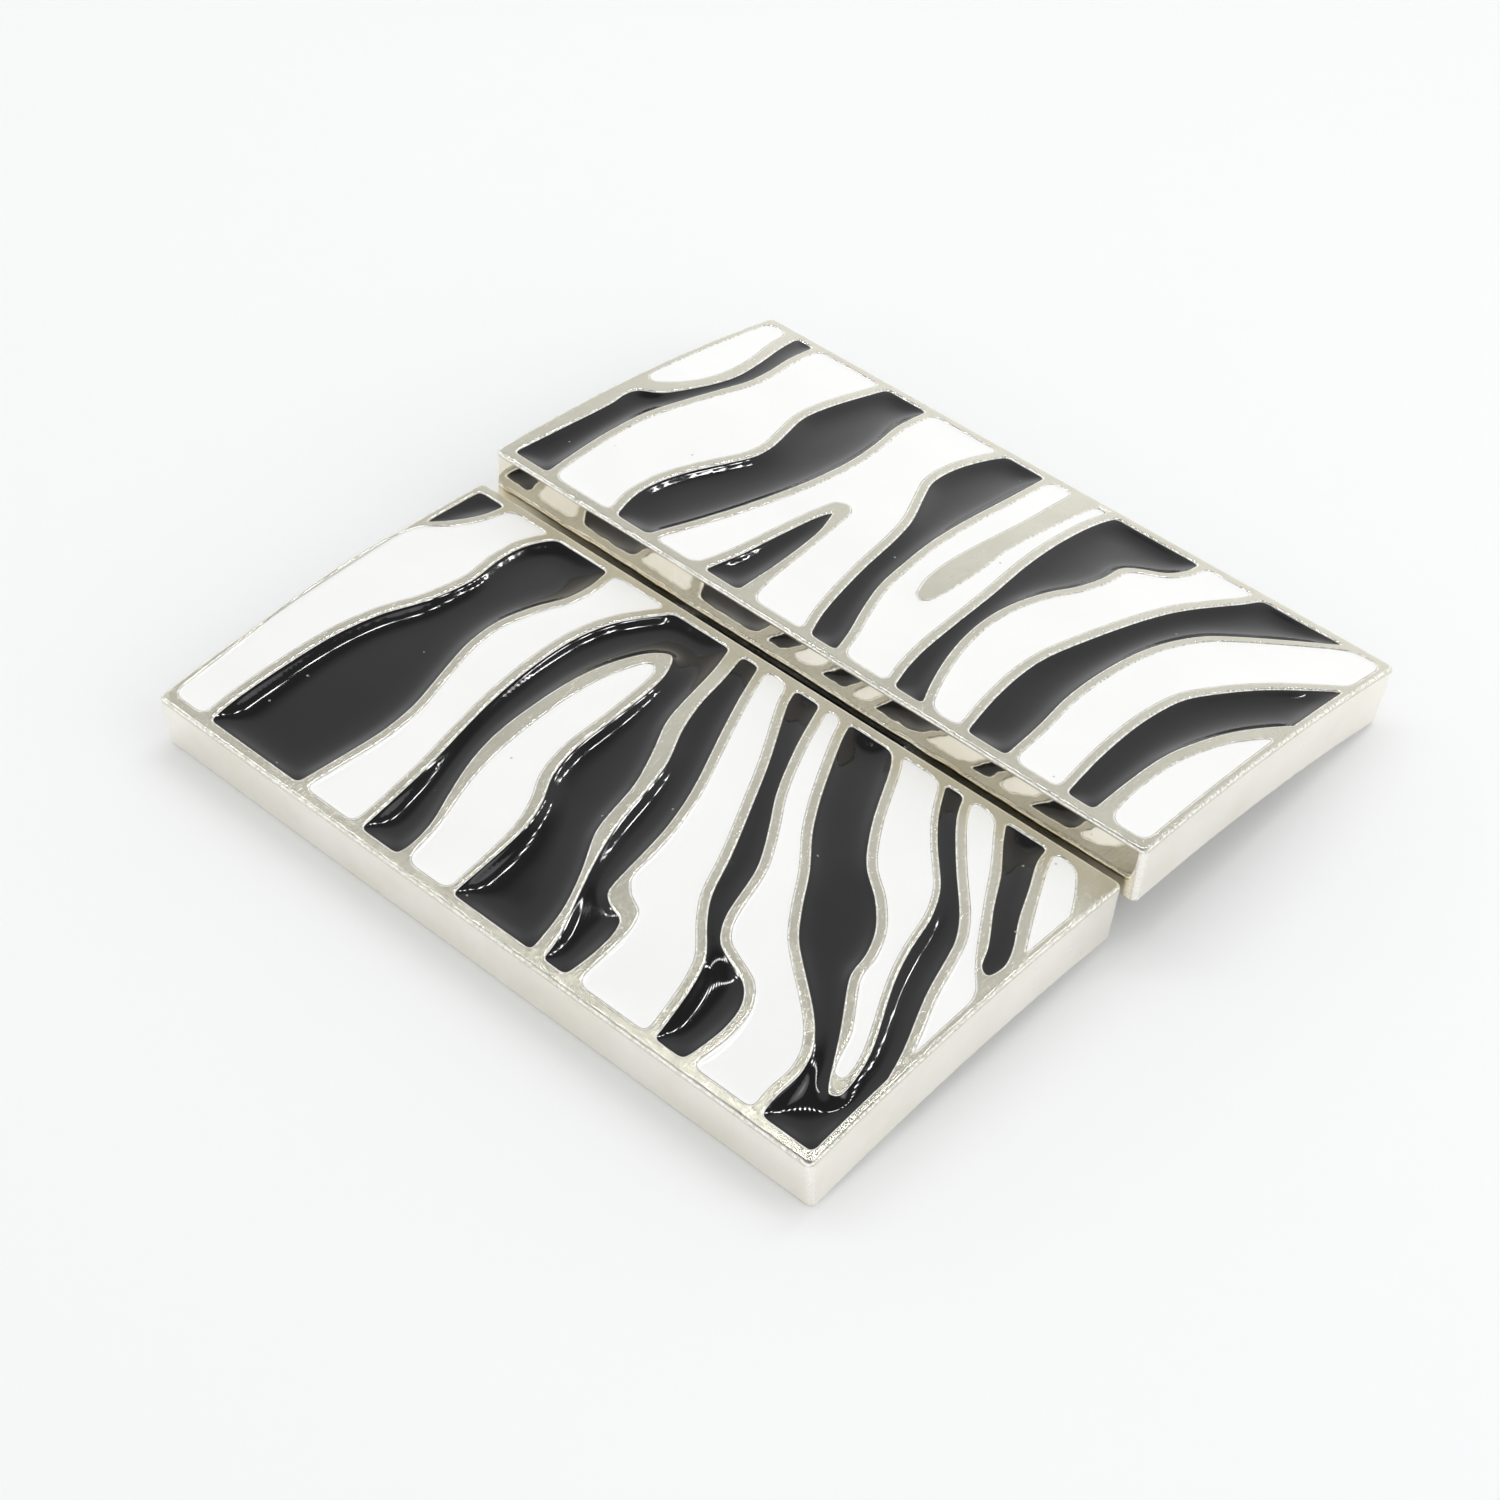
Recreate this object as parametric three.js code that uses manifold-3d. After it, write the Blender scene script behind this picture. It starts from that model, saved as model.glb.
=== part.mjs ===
// Two-piece hook clasp for a waist belt: two arched, enamelled plates side by side.
// Millimetres, +Z up. X is the belt's direction: the hook half lies at -X and the catch half
// at +X. Y runs along the joint between the halves. Both outer ends rest on z = 0.
//
// Each half is modelled in its own frame and then placed by its group: x runs outwards from
// the joint edge, y along the joint, and z = 0 is the height of the plate's two top end edges.
import * as THREE from 'three';
import { mergeVertices } from 'three/addons/utils/BufferGeometryUtils.js';
import Module from 'manifold-3d';

const wasm = await Module();
wasm.setup();

// Driving dimensions
const WIDTH = 60;              // along the joint
const ARC_LENGTH = 32;         // of one half, along its arched top
const ARC_RADIUS = 150;        // of the arched top, bent to the waist
const WALL_HEIGHT = 4.8;       // of the walls, square to the arch
const DECK = 1.4;              // thickness of the enamelled deck
const WALL = 1.3;              // thickness of the four walls
const POCKET_DEPTH = 0.7;      // of the enamel pockets
const ENAMEL_RECESS = 0.3;     // how far the enamel lies below the metal lines
const FIT_GAP = 0.12;          // round the enamel in its pocket
const CLEARANCE = 0.3;         // between pieces that touch or pass each other
const SNUG = 0.15;             // between a rivet and its hole or seat
const PAST_WALL = 1.2;         // how far a cut through a wall reaches beyond it
const RIM_END = 1.0;           // width of the bare rim at the joint and outer ends
const RIM_SIDE = 0.7;          // width of the bare rim at the sides
const LINE = 0.8;              // usual width of a metal line between two enamels
const ARC_FACETS = 6;
const OUTLINE_TOLERANCE = 0.03;

// How the two halves lie: each is tilted up towards the joint
const HOOK_TILT = THREE.MathUtils.degToRad(1.4);
const CATCH_TILT = THREE.MathUtils.degToRad(7.5);
const JOINT_GAP = 0.4;
const HOOK_SHIFT = 0.9;        // of the hook half along the joint

// Hook tongue, catch pin and belt bars
const TONGUE = { width: 20, thickness: 1.2, top: -1.9, pastPin: 3.2, inside: 13, lipHeight: 2.1 };
const PIN = { radius: 0.9, length: 29, x: 3.4, z: 5.05 };   // x from the joint, z from the table
const PIN_LUG = { thickness: 2, inset: 1.2, start: 0.9, beside: 2.1, below: 1.1 };
const RIVET = { spacing: 12, x: 8.5, shank: 1.1, head: 2.0, headHeight: 0.6 };
const BOSS = { radius: 2.6, top: -0.4 };   // its top lies inside the deck
const BELT_BAR = { x: 25.5, z: -3.1, width: 2.6, thickness: 1.5, tenon: 1.0 };
const BAR_LUG = { depth: 2.2, beside: 1.4, below: 0.5 };
const NOTCH_HEIGHT = 1.2;      // in the catch half's joint wall, over the tongue
const ROOT = 0.4;              // how far a lug reaches into the wall it stands on

const HALF_ANGLE = ARC_LENGTH / ARC_RADIUS / 2;
const CHORD = 2 * ARC_RADIUS * Math.sin(HALF_ANGLE);

const nickel = { color: 0xd8d2c4, roughness: 0.25, metalness: 1 };
const steel = { color: 0xc4c4c2, roughness: 0.32, metalness: 1 };
const blackEnamel = { color: 0x141414, roughness: 0.06, metalness: 0 };
const whiteEnamel = { color: 0xf2f3f1, roughness: 0.08, metalness: 0 };

// ---- Solids -----------------------------------------------------------------------------

function solid(geometry) {
  geometry.deleteAttribute('normal');
  geometry.deleteAttribute('uv');
  const merged = mergeVertices(geometry, 1e-5);
  return new wasm.Manifold(new wasm.Mesh({
    numProp: 3,
    vertProperties: new Float32Array(merged.attributes.position.array),
    triVerts: new Uint32Array(merged.index.array),
  }));
}

function named(name, finish, body) {
  const data = body.getMesh();
  const geometry = new THREE.BufferGeometry();
  geometry.setAttribute('position', new THREE.BufferAttribute(data.vertProperties, 3));
  geometry.setIndex(new THREE.BufferAttribute(data.triVerts, 1));
  geometry.computeVertexNormals();
  const mesh = new THREE.Mesh(geometry, new THREE.MeshStandardMaterial(finish));
  mesh.name = name;
  return mesh;
}

/** A block between two corners. */
function block(x0, x1, y0, y1, z0, z1) {
  const geometry = new THREE.BoxGeometry(x1 - x0, y1 - y0, z1 - z0);
  geometry.translate((x0 + x1) / 2, (y0 + y1) / 2, (z0 + z1) / 2);
  return solid(geometry);
}

/** An upright cylinder. */
function post(x, y, z0, z1, radius, sides = 20) {
  const geometry = new THREE.CylinderGeometry(radius, radius, z1 - z0, sides);
  geometry.rotateX(Math.PI / 2);
  geometry.translate(x, y, (z0 + z1) / 2);
  return solid(geometry);
}

/** A round bar along y. */
function rod(x, z, length, radius, sides = 20) {
  const geometry = new THREE.CylinderGeometry(radius, radius, length, sides);
  geometry.translate(x, 0, z);
  return solid(geometry);
}

/** A side view in x and z, extruded along y between two planes. */
function sideExtrusion(points, y0, y1) {
  const geometry = new THREE.ExtrudeGeometry(new THREE.Shape(points), {
    depth: y1 - y0,
    bevelEnabled: false,
  });
  geometry.rotateX(Math.PI / 2);
  geometry.translate(0, y1, 0);
  return solid(geometry);
}

// ---- The arch ---------------------------------------------------------------------------

/** The point at arc length s from the joint edge and at a depth square to the arched top. */
function onArch(s, depth) {
  const angle = s / ARC_RADIUS - HALF_ANGLE;
  const radius = ARC_RADIUS - depth;
  return new THREE.Vector2(
    ARC_RADIUS * Math.sin(HALF_ANGLE) + radius * Math.sin(angle),
    radius * Math.cos(angle) - ARC_RADIUS * Math.cos(HALF_ANGLE),
  );
}

/** A layer of the arch between two depths, two arc lengths and two planes along the joint. */
function archLayer(top, bottom, s0, s1, y0, y1) {
  const upper = [];
  const lower = [];
  for (let i = 0; i <= ARC_FACETS; i += 1) {
    const s = s0 + (s1 - s0) * i / ARC_FACETS;
    upper.push(onArch(s, top));
    lower.unshift(onArch(s, bottom));
  }
  return sideExtrusion([...upper, ...lower], y0, y1);
}

// ---- Outlines on the arch, as [y, s] marks ------------------------------------------------

/** The same run of marks moved sideways: to the left of its travel where the offset is > 0. */
function beside(marks, offset) {
  return marks.map(([y, s], i) => {
    const [yBefore, sBefore] = marks[Math.max(i - 1, 0)];
    const [yAfter, sAfter] = marks[Math.min(i + 1, marks.length - 1)];
    const length = Math.hypot(yAfter - yBefore, sAfter - sBefore);
    const left = [-(sAfter - sBefore) / length, (yAfter - yBefore) / length];
    return [y + offset * left[0], s + offset * left[1]];
  });
}

/** Fewest points that keep a run within the tolerance. */
function simplified(points) {
  const first = points[0];
  const last = points[points.length - 1];
  const line = new THREE.Line3(
    new THREE.Vector3(first.x, first.y, 0),
    new THREE.Vector3(last.x, last.y, 0),
  );
  const nearest = new THREE.Vector3();
  let worst = 0;
  let at = 0;
  for (let i = 1; i < points.length - 1; i += 1) {
    const point = new THREE.Vector3(points[i].x, points[i].y, 0);
    line.closestPointToPoint(point, true, nearest);
    const distance = nearest.distanceTo(point);
    if (distance > worst) {
      worst = distance;
      at = i;
    }
  }
  if (worst < OUTLINE_TOLERANCE) return [first, last];
  return [...simplified(points.slice(0, at + 1)).slice(0, -1), ...simplified(points.slice(at))];
}

/** A smooth run through its marks. */
function smoothRun(marks) {
  const curve = new THREE.CatmullRomCurve3(
    marks.map(([y, s]) => new THREE.Vector3(y, s, 0)),
    false,
    'centripetal',
  );
  return simplified(curve.getPoints(marks.length * 8).map((p) => new THREE.Vector2(p.x, p.y)));
}

/** Cuts a polygon at one straight limit of the enamelled field. */
function cutAt(points, axis, limit, side) {
  const kept = [];
  points.forEach((point, i) => {
    const next = points[(i + 1) % points.length];
    const inside = side * (limit - point[axis]) >= 0;
    const nextInside = side * (limit - next[axis]) >= 0;
    if (inside) kept.push(point);
    if (inside !== nextInside) {
      kept.push(point.clone().lerp(next, (limit - point[axis]) / (next[axis] - point[axis])));
    }
  });
  return kept;
}

/** A cell's outline: smooth runs that meet at corners, cut off at the bare rim. */
function outline(runs) {
  let points = runs.flatMap(smoothRun);
  points = cutAt(points, 'x', WIDTH / 2 - RIM_SIDE, 1);
  points = cutAt(points, 'x', RIM_SIDE - WIDTH / 2, -1);
  points = cutAt(points, 'y', ARC_LENGTH - RIM_END, 1);
  points = cutAt(points, 'y', RIM_END, -1);
  points = points.filter((p, i) => p.distanceTo(points[(i + 1) % points.length]) > 0.08);
  return THREE.ShapeUtils.isClockWise(points) ? points.reverse() : points;
}

/** The outline moved inwards by the same distance all round. */
function inset(points, distance) {
  return points.map((point, i) => {
    const before = points[(i + points.length - 1) % points.length];
    const after = points[(i + 1) % points.length];
    const a = point.clone().sub(before).normalize();
    const b = after.clone().sub(point).normalize();
    const scale = distance / Math.max(1 + a.dot(b), 0.3);
    return new THREE.Vector2(point.x - (a.y + b.y) * scale, point.y + (a.x + b.x) * scale);
  });
}

/** An upright prism over an outline, long enough to pass through the whole plate. */
function prism(points, turned) {
  const plan = points.map((p) => new THREE.Vector2(onArch(p.y, 0).x, turned ? -p.x : p.x));
  const geometry = new THREE.ExtrudeGeometry(new THREE.Shape(plan), {
    depth: 8,
    bevelEnabled: false,
  });
  geometry.translate(0, 0, -4);
  return solid(geometry);
}

// ---- The zebra pattern --------------------------------------------------------------------
// Runs go outwards from the joint unless they are closed with their neighbour. Marks that lie
// beyond the field only say how a line reaches the rim.

const reversed = (marks) => [...marks].reverse();

function hookPattern() {
  const stub = [[-24.2, 0.5], [-24.6, 2.5], [-25.8, 5], [-27.2, 8], [-28.4, 10.1], [-28.95, 11.7],
    [-28.7, 13], [-28.1, 12.8], [-27.2, 11], [-25.3, 8], [-23.6, 5], [-21.9, 2.6], [-20.6, 0.5]];
  const forkOuter = [[-16.9, 0.5], [-18.1, 3], [-20.4, 6], [-22.1, 8], [-23.9, 10], [-25.2, 12],
    [-25.9, 14], [-26.8, 17], [-28, 20], [-28.9, 22.4], [-29.6, 25.5], [-29.8, 32]];
  const forkInner = [[-6.9, 0.5], [-7.6, 2.4], [-8.9, 5], [-10.4, 8], [-12.2, 11], [-14.5, 14],
    [-16.4, 17], [-17.9, 19], [-20.2, 21], [-22.6, 23], [-24.3, 25], [-25, 27], [-25, 29.5],
    [-25.4, 32]];
  const forkNotch = [[-10.3, 0.5], [-11.6, 2.1], [-13.1, 5], [-14.7, 8], [-16.8, 11],
    [-19.2, 13], [-20.9, 15], [-21.8, 17], [-22.2, 19], [-23.4, 21], [-24.7, 23], [-26.5, 26],
    [-27.3, 27.1], [-27.9, 26.8], [-27.9, 25.4], [-27.3, 23], [-25.9, 20], [-24.7, 17.5],
    [-23.8, 15], [-23.3, 13], [-22.7, 11], [-21.6, 9], [-19.8, 7], [-17.4, 4], [-15.4, 0.5]];
  const footedOuter = [[-4, 0.5], [-4.9, 3], [-6.1, 6], [-8, 10], [-9.9, 13], [-11.6, 16],
    [-12.5, 19], [-13.1, 21], [-14.2, 22.6], [-16, 23.5], [-17.6, 24.2], [-18.6, 25.5],
    [-19, 27.5], [-18.8, 30], [-18.4, 32]];
  const footedInner = [[-1.9, 0.5], [-2.6, 2.4], [-4, 5], [-5.7, 8], [-7.2, 11], [-8.6, 14],
    [-10, 17], [-11.2, 20], [-12.6, 22], [-14.4, 24.1], [-15.2, 26], [-16, 29.5], [-16.4, 32]];
  const thinOuter = [[1.7, 0.5], [0.8, 3], [-0.4, 6], [-2.1, 10], [-3.8, 14], [-4.8, 17.5],
    [-5.2, 20], [-5.5, 22.5], [-5.9, 24.4], [-6.9, 25.1], [-8, 25.5], [-8.5, 26.7],
    [-8.6, 29], [-8.3, 32]];
  const thinInner = [[3.1, 0.5], [2.2, 4], [1.6, 7], [0.6, 10], [-0.8, 13], [-1.6, 16],
    [-2.3, 19.5], [-3.1, 22], [-4.1, 24.5], [-5.2, 27], [-6.2, 29.5], [-6.6, 32]];
  const archOuter = [[4.4, 0.5], [3.5, 3.5], [2.8, 7], [2.1, 10], [0.7, 13], [-0.5, 16],
    [-1.1, 19], [-1.6, 21], [-3.2, 24], [-4.5, 27], [-5.1, 29.5], [-5.5, 32]];
  const archInner = [[9.3, 0.5], [10.8, 3], [11.8, 5], [12.5, 8], [12.6, 12], [12.3, 16],
    [11.7, 20], [11, 24], [10.6, 28], [10.4, 32]];
  const archNotch = [[1.75, 32], [1.85, 28], [2.1, 24], [2.8, 21.6], [4, 19.3], [4.7, 16.5],
    [4.85, 12], [5.1, 8], [5.6, 5.9], [6.5, 4.6], [7.6, 5.3], [8.9, 8], [9.6, 11],
    [9.85, 15], [9.75, 19], [9.2, 22], [8.2, 25], [7.2, 27.8], [6.95, 30], [7.2, 32]];
  const broadOuter = [[16.3, 0.5], [15.95, 3], [16.1, 5.3], [17.1, 8], [17.75, 11], [17.6, 14],
    [16.6, 18], [15.9, 21], [15.75, 24], [16.1, 27], [16.9, 32]];
  const broadInner = [[21, 0.5], [21.9, 2], [22.4, 3.5], [22.5, 6], [22.2, 8.5], [22.4, 10.5],
    [23, 13], [24.2, 16], [25, 19.5], [25.4, 24], [25.6, 29], [25.4, 32]];
  const wedge = [[26.7, 0.5], [27.2, 3], [28.3, 5.2], [29.9, 7.2]];
  return {
    black: [
      [stub],
      [forkOuter, reversed(forkInner), forkNotch],
      [footedOuter, reversed(footedInner)],
      [thinOuter, reversed(thinInner)],
      [archOuter, archNotch, reversed(archInner)],
      [broadOuter, reversed(broadInner)],
      [wedge, [[31, 7], [31, 0.5]]],
    ],
    white: [
      [[[-31, 10], [-31, 5.2]], [[-29.3, 5.1], [-28.6, 3.8], [-27.6, 2.2], [-26.4, 0.5]],
        [[-24.9, 0.5], [-25.4, 2.1], [-26.3, 4], [-27.8, 7], [-29.4, 10]]],
      [[[-19.6, 0.5], [-20.8, 2.4], [-22.6, 5], [-24.4, 8], [-26.1, 10.7], [-27.3, 12.6],
        [-28.4, 14], [-29.6, 15.2]], [[-31, 16], [-31, 22.6]],
      reversed(beside(forkOuter.slice(0, 10), LINE))],
      [[...beside(forkNotch.slice(0, 11), LINE), [-26.2, 24.9], [-26.7, 25.7], [-27.2, 25.6],
        [-27.2, 24.8], ...beside(forkNotch.slice(15), 0.7 * LINE)]],
      [beside(forkInner, -LINE), reversed(beside(footedOuter, LINE))],
      [beside(footedInner, -LINE),
        [[-9.5, 32], [-9.4, 28], [-9.2, 25.6], [-8.6, 24.2], [-7.2, 23.4], [-6.3, 22.4]],
        reversed(beside(thinOuter.slice(0, 7), LINE))],
      [[[2.3, 32], [2.6, 26], [2.9, 24], [3.6, 22], [4.8, 19.8], [5.5, 17], [5.65, 12],
        [5.9, 8.5], [6.2, 6.9], [6.8, 6], [7.3, 7], [8.1, 9.5], [8.5, 13], [8.5, 17],
        [8.2, 21], [7.6, 24], [6.6, 27.5], [6, 32]]],
      [beside(archInner, -LINE), reversed(beside(broadOuter, LINE))],
      [beside(broadInner, -LINE), [[31, 32], [31, 9]], reversed(beside(wedge, LINE))],
    ],
  };
}

function catchPattern() {
  const bladeOuter = [[-25, 0.5], [-25, 5], [-25.2, 9], [-25.9, 12], [-27, 15], [-28.7, 18],
    [-29.8, 19.6]];
  const bladeInner = [[-22.9, 0.5], [-22.4, 4.5], [-22.1, 9], [-22.15, 12], [-22.6, 15.2],
    [-23.9, 18], [-25.7, 21], [-28.1, 24], [-29.8, 25.9]];
  const sweptOuter = [[-17.6, 0.5], [-17.3, 5], [-16.8, 9], [-16.75, 13], [-17.1, 17],
    [-17.8, 20], [-19.1, 23], [-21.5, 26], [-24.1, 29], [-26.8, 32]];
  const sweptInner = [[-14.4, 0.5], [-13.9, 3], [-13.4, 6], [-13.15, 9.5], [-13.3, 12],
    [-14.1, 16], [-14.9, 20], [-16, 24], [-17.3, 27], [-18.5, 29.6], [-19.3, 32]];
  const bootOuter = [[-10.5, 0.5], [-9.4, 3], [-8.4, 6], [-7.75, 9], [-7.5, 12], [-7.75, 15],
    [-8.5, 18], [-9.4, 20.3], [-9.9, 23], [-10, 25.3], [-11, 26.5], [-12.4, 27.7],
    [-13.1, 29.5], [-13.1, 32]];
  const bootInner = [[-8, 0.5], [-7.3, 3], [-6.8, 6], [-6.5, 10], [-6.1, 14.5], [-5.4, 20],
    [-5.1, 25], [-5.2, 29], [-5.7, 32]];
  const clubOuter = [[-2.6, 0.5], [-1.9, 3], [-0.8, 6], [0.1, 9], [0.6, 12.5], [1, 16],
    [1.15, 20], [1.15, 25], [1.4, 32]];
  const clubInner = [[-0.4, 0.5], [0.7, 3.5], [1.5, 7], [2.1, 10], [2.75, 14], [3.5, 17],
    [4.8, 20], [5.9, 22.7], [6.1, 25.5], [5.6, 29], [4.7, 32]];
  const thornOuter = [[6.65, 0.5], [6.65, 4.5], [6.9, 8.5], [7.3, 11], [8, 13.1]];
  const thornInner = [[9.9, 0.5], [9.1, 4.5], [8.75, 8.5], [8.4, 11.5], [8, 13.1]];
  const waveOuter = [[15.6, 0.5], [14.7, 3], [13.7, 6], [12.9, 9], [12.2, 12.5], [11.8, 16],
    [11.75, 20], [12.2, 23.5], [12.9, 27], [13.1, 32]];
  const waveInner = [[18.3, 0.5], [19.1, 3.5], [19.1, 6], [18.4, 9], [17.3, 12], [16.6, 14.3],
    [16.6, 16.3], [17.2, 18.7], [17.85, 21.7], [17.8, 24.5], [17.4, 28], [16.9, 32]];
  const hipOuter = [[25.5, 0.5], [25.8, 4], [26, 8], [25.9, 12], [25.3, 15.5], [24.6, 19],
    [24.1, 22], [24.2, 24.5], [24.7, 28], [24.9, 32]];
  const hipInner = [[28.9, 0.5], [28.5, 7], [28.4, 11], [28.6, 13], [28.3, 14], [27, 15.1],
    [26, 17.3], [25.3, 19.7], [25.05, 22], [25.4, 25], [26.1, 28.5], [26.6, 32]];
  const bareLeaf = [[-3.7, 32], [-3.5, 24], [-3.4, 20], [-3.75, 16], [-3.8, 12], [-3.6, 10.2],
    [-3.1, 9.3], [-2.4, 10], [-1.7, 12], [-1.4, 15], [-1.5, 20], [-1.6, 24], [-1.3, 32]];
  return {
    black: [
      [bladeOuter, reversed(bladeInner)],
      [sweptOuter, reversed(sweptInner)],
      [bootOuter, reversed(bootInner)],
      [clubOuter, reversed(clubInner)],
      [thornOuter, reversed(thornInner)],
      [waveOuter, reversed(waveInner)],
      [hipOuter, reversed(hipInner)],
    ],
    white: [
      [[[-31, 17], [-31, 0.5]], [[-26.6, 0.5], [-26.15, 3], [-26.1, 7], [-26.5, 10],
        [-27.4, 13], [-28.9, 15.8], [-29.8, 17]]],
      [beside(bladeInner, -LINE), [[-31, 27], [-31, 32]], reversed(beside(sweptOuter, LINE))],
      [beside(sweptInner, -LINE), reversed(beside(bootOuter, LINE))],
      [beside(bootInner, -LINE), bareLeaf, reversed(beside(clubOuter, LINE))],
      [beside(clubInner, -LINE), reversed(beside(waveOuter, LINE)),
        [[10.9, 0.5], [10.1, 4], [9.6, 8], [9.2, 12], [8.8, 14.3], [7.9, 15.3], [7.1, 14.3],
          [6.6, 11.5], [6.1, 8], [5.7, 4], [5.1, 0.5]]],
      [beside(waveInner, -LINE), reversed(beside(hipOuter, LINE))],
      [[[28.5, 15.9], [27.2, 17.5], [26.4, 19.5], [26.1, 22], [26.4, 25], [27.1, 28],
        [27.7, 32]], [[31, 32], [31, 15.9]]],
    ],
  };
}

// ---- One half -----------------------------------------------------------------------------

/** The enamels of one half, and the pockets that the frame needs for them. */
function enamels(half, pattern, turned) {
  const pieces = [];
  const pockets = [];
  const everyY = [-WIDTH / 2, WIDTH / 2];
  const pocketLayer = archLayer(-1, POCKET_DEPTH, 0, ARC_LENGTH, ...everyY);
  const enamelLayer = archLayer(ENAMEL_RECESS, POCKET_DEPTH - FIT_GAP, 0, ARC_LENGTH, ...everyY);
  const finishes = { black: blackEnamel, white: whiteEnamel };
  for (const [colour, cells] of Object.entries(pattern)) {
    cells.forEach((runs, i) => {
      const edge = outline(runs);
      pockets.push(prism(edge, turned).intersect(pocketLayer));
      const fill = prism(inset(edge, FIT_GAP), turned).intersect(enamelLayer);
      pieces.push(named(`${half}_enamel_${colour}_${i + 1}`, finishes[colour], fill));
    });
  }
  return { pieces, pockets };
}

/** The belt bar: a flat steel bar whose thinner ends sit in two lugs on the side walls. */
function beltBar(name) {
  const { x, z, width, thickness, tenon } = BELT_BAR;
  const reach = WIDTH / 2 - WALL - CLEARANCE;
  const shoulder = reach - BAR_LUG.depth;
  const middle = block(
    x - width / 2, x + width / 2, -shoulder, shoulder, z - thickness / 2, z + thickness / 2,
  );
  return named(name, steel, middle.add(block(
    x - width / 2, x + width / 2, -reach, reach, z - tenon / 2, z + tenon / 2,
  )));
}

/** The two lugs for a belt bar, less the holes that its ends sit in. */
function withBarLugs(frame) {
  const { x, z, width, thickness, tenon } = BELT_BAR;
  const wallFace = WIDTH / 2 - WALL;
  const halfLug = width / 2 + BAR_LUG.beside;
  const foot = z - thickness / 2 - BAR_LUG.below;
  let result = frame;
  for (const side of [-1, 1]) {
    const ends = [side * (wallFace - BAR_LUG.depth), side * (wallFace + ROOT)];
    ends.sort((a, b) => a - b);
    result = result.add(block(x - halfLug, x + halfLug, ...ends, foot, -DECK / 2));
  }
  const halfWidth = width / 2 + CLEARANCE;
  const halfTenon = tenon / 2 + CLEARANCE;
  return result.subtract(block(
    x - halfWidth, x + halfWidth, -wallFace, wallFace, z - halfTenon, z + halfTenon,
  ));
}

/** The arched casting: deck and four walls round a hollow that is open below. */
function casting(pockets) {
  const outside = archLayer(0, WALL_HEIGHT, 0, ARC_LENGTH, -WIDTH / 2, WIDTH / 2);
  const hollow = archLayer(
    DECK, WALL_HEIGHT + 1, WALL, ARC_LENGTH - WALL, WALL - WIDTH / 2, WIDTH / 2 - WALL,
  );
  let body = withBarLugs(outside.subtract(hollow));
  for (const pocket of pockets) body = body.subtract(pocket);
  return body;
}

function hookHalf() {
  const { pieces, pockets } = enamels('hook', hookPattern(), true);
  const halfWidth = TONGUE.width / 2;
  const room = halfWidth + CLEARANCE;
  const tip = -PIN.x - TONGUE.pastPin;
  const bottom = TONGUE.top - TONGUE.thickness;
  const bossFoot = TONGUE.top + CLEARANCE;
  let frame = casting(pockets).subtract(
    block(-1, WALL + PAST_WALL, -room, room, -WALL_HEIGHT - 1, bossFoot),
  );
  let tongue = block(tip, TONGUE.inside, -halfWidth, halfWidth, bottom, TONGUE.top).add(
    block(tip, tip + TONGUE.thickness, -halfWidth, halfWidth, bottom, TONGUE.top + TONGUE.lipHeight),
  );
  const rivets = [-1, 1].map((side) => {
    const y = side * RIVET.spacing / 2;
    const hole = RIVET.shank + SNUG;
    frame = frame.add(post(RIVET.x, y, bossFoot, BOSS.top, BOSS.radius));
    frame = frame.subtract(post(RIVET.x, y, bossFoot - 1, BOSS.top - SNUG, hole));
    tongue = tongue.subtract(post(RIVET.x, y, bottom - 1, TONGUE.top + 1, hole));
    const headTop = bottom - SNUG;
    const rivet = post(RIVET.x, y, headTop - RIVET.headHeight, headTop, RIVET.head)
      .add(post(RIVET.x, y, headTop - RIVET.headHeight / 2, BOSS.top - 2 * SNUG, RIVET.shank));
    return named(`tongue_rivet_${side < 0 ? 1 : 2}`, steel, rivet);
  });
  const half = new THREE.Group();
  half.add(
    named('hook_frame', nickel, frame),
    named('hook_tongue', steel, tongue),
    ...rivets,
    beltBar('hook_belt_bar'),
    ...pieces,
  );
  return half;
}

function catchHalf(pin) {
  const { pieces, pockets } = enamels('catch', catchPattern(), false);
  const room = TONGUE.width / 2 + HOOK_SHIFT + 2 * CLEARANCE;
  const notchTop = NOTCH_HEIGHT - WALL_HEIGHT;
  let frame = casting(pockets).subtract(
    block(-1, WALL + PAST_WALL, -room, room, -WALL_HEIGHT - 1, notchTop),
  );
  for (const side of [-1, 1]) {
    const outer = side * (PIN.length / 2 - PIN_LUG.inset);
    const ends = [outer, outer - side * PIN_LUG.thickness].sort((a, b) => a - b);
    frame = frame.add(block(
      PIN_LUG.start, pin.x + PIN_LUG.beside, ...ends, pin.z - PIN_LUG.below, -0.6 * DECK,
    ));
  }
  const bore = rod(pin.x, pin.z, PIN.length + 1, PIN.radius + CLEARANCE);
  const insideWall = block(WALL + 0.2, 10, -WIDTH / 2, WIDTH / 2, -WALL_HEIGHT, 0);
  frame = frame.subtract(bore.intersect(insideWall));
  const half = new THREE.Group();
  half.add(
    named('catch_frame', nickel, frame),
    named('catch_pin', steel, rod(pin.x, pin.z, PIN.length, PIN.radius)),
    beltBar('catch_belt_bar'),
    ...pieces,
  );
  return half;
}

// ---- The clasp ----------------------------------------------------------------------------

/** Height of a half's joint edge when its outer end rests on z = 0. */
const jointHeight = (tilt) =>
  CHORD * Math.sin(tilt) + WALL_HEIGHT * Math.cos(HALF_ANGLE + tilt);

/** The catch pin's place in the catch half's own frame, from its place beside the joint. */
function pinInHalf() {
  const place = new THREE.Vector3(PIN.x, 0, PIN.z - jointHeight(CATCH_TILT));
  place.applyAxisAngle(new THREE.Vector3(0, 1, 0), -CATCH_TILT);
  return place;
}

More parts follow.
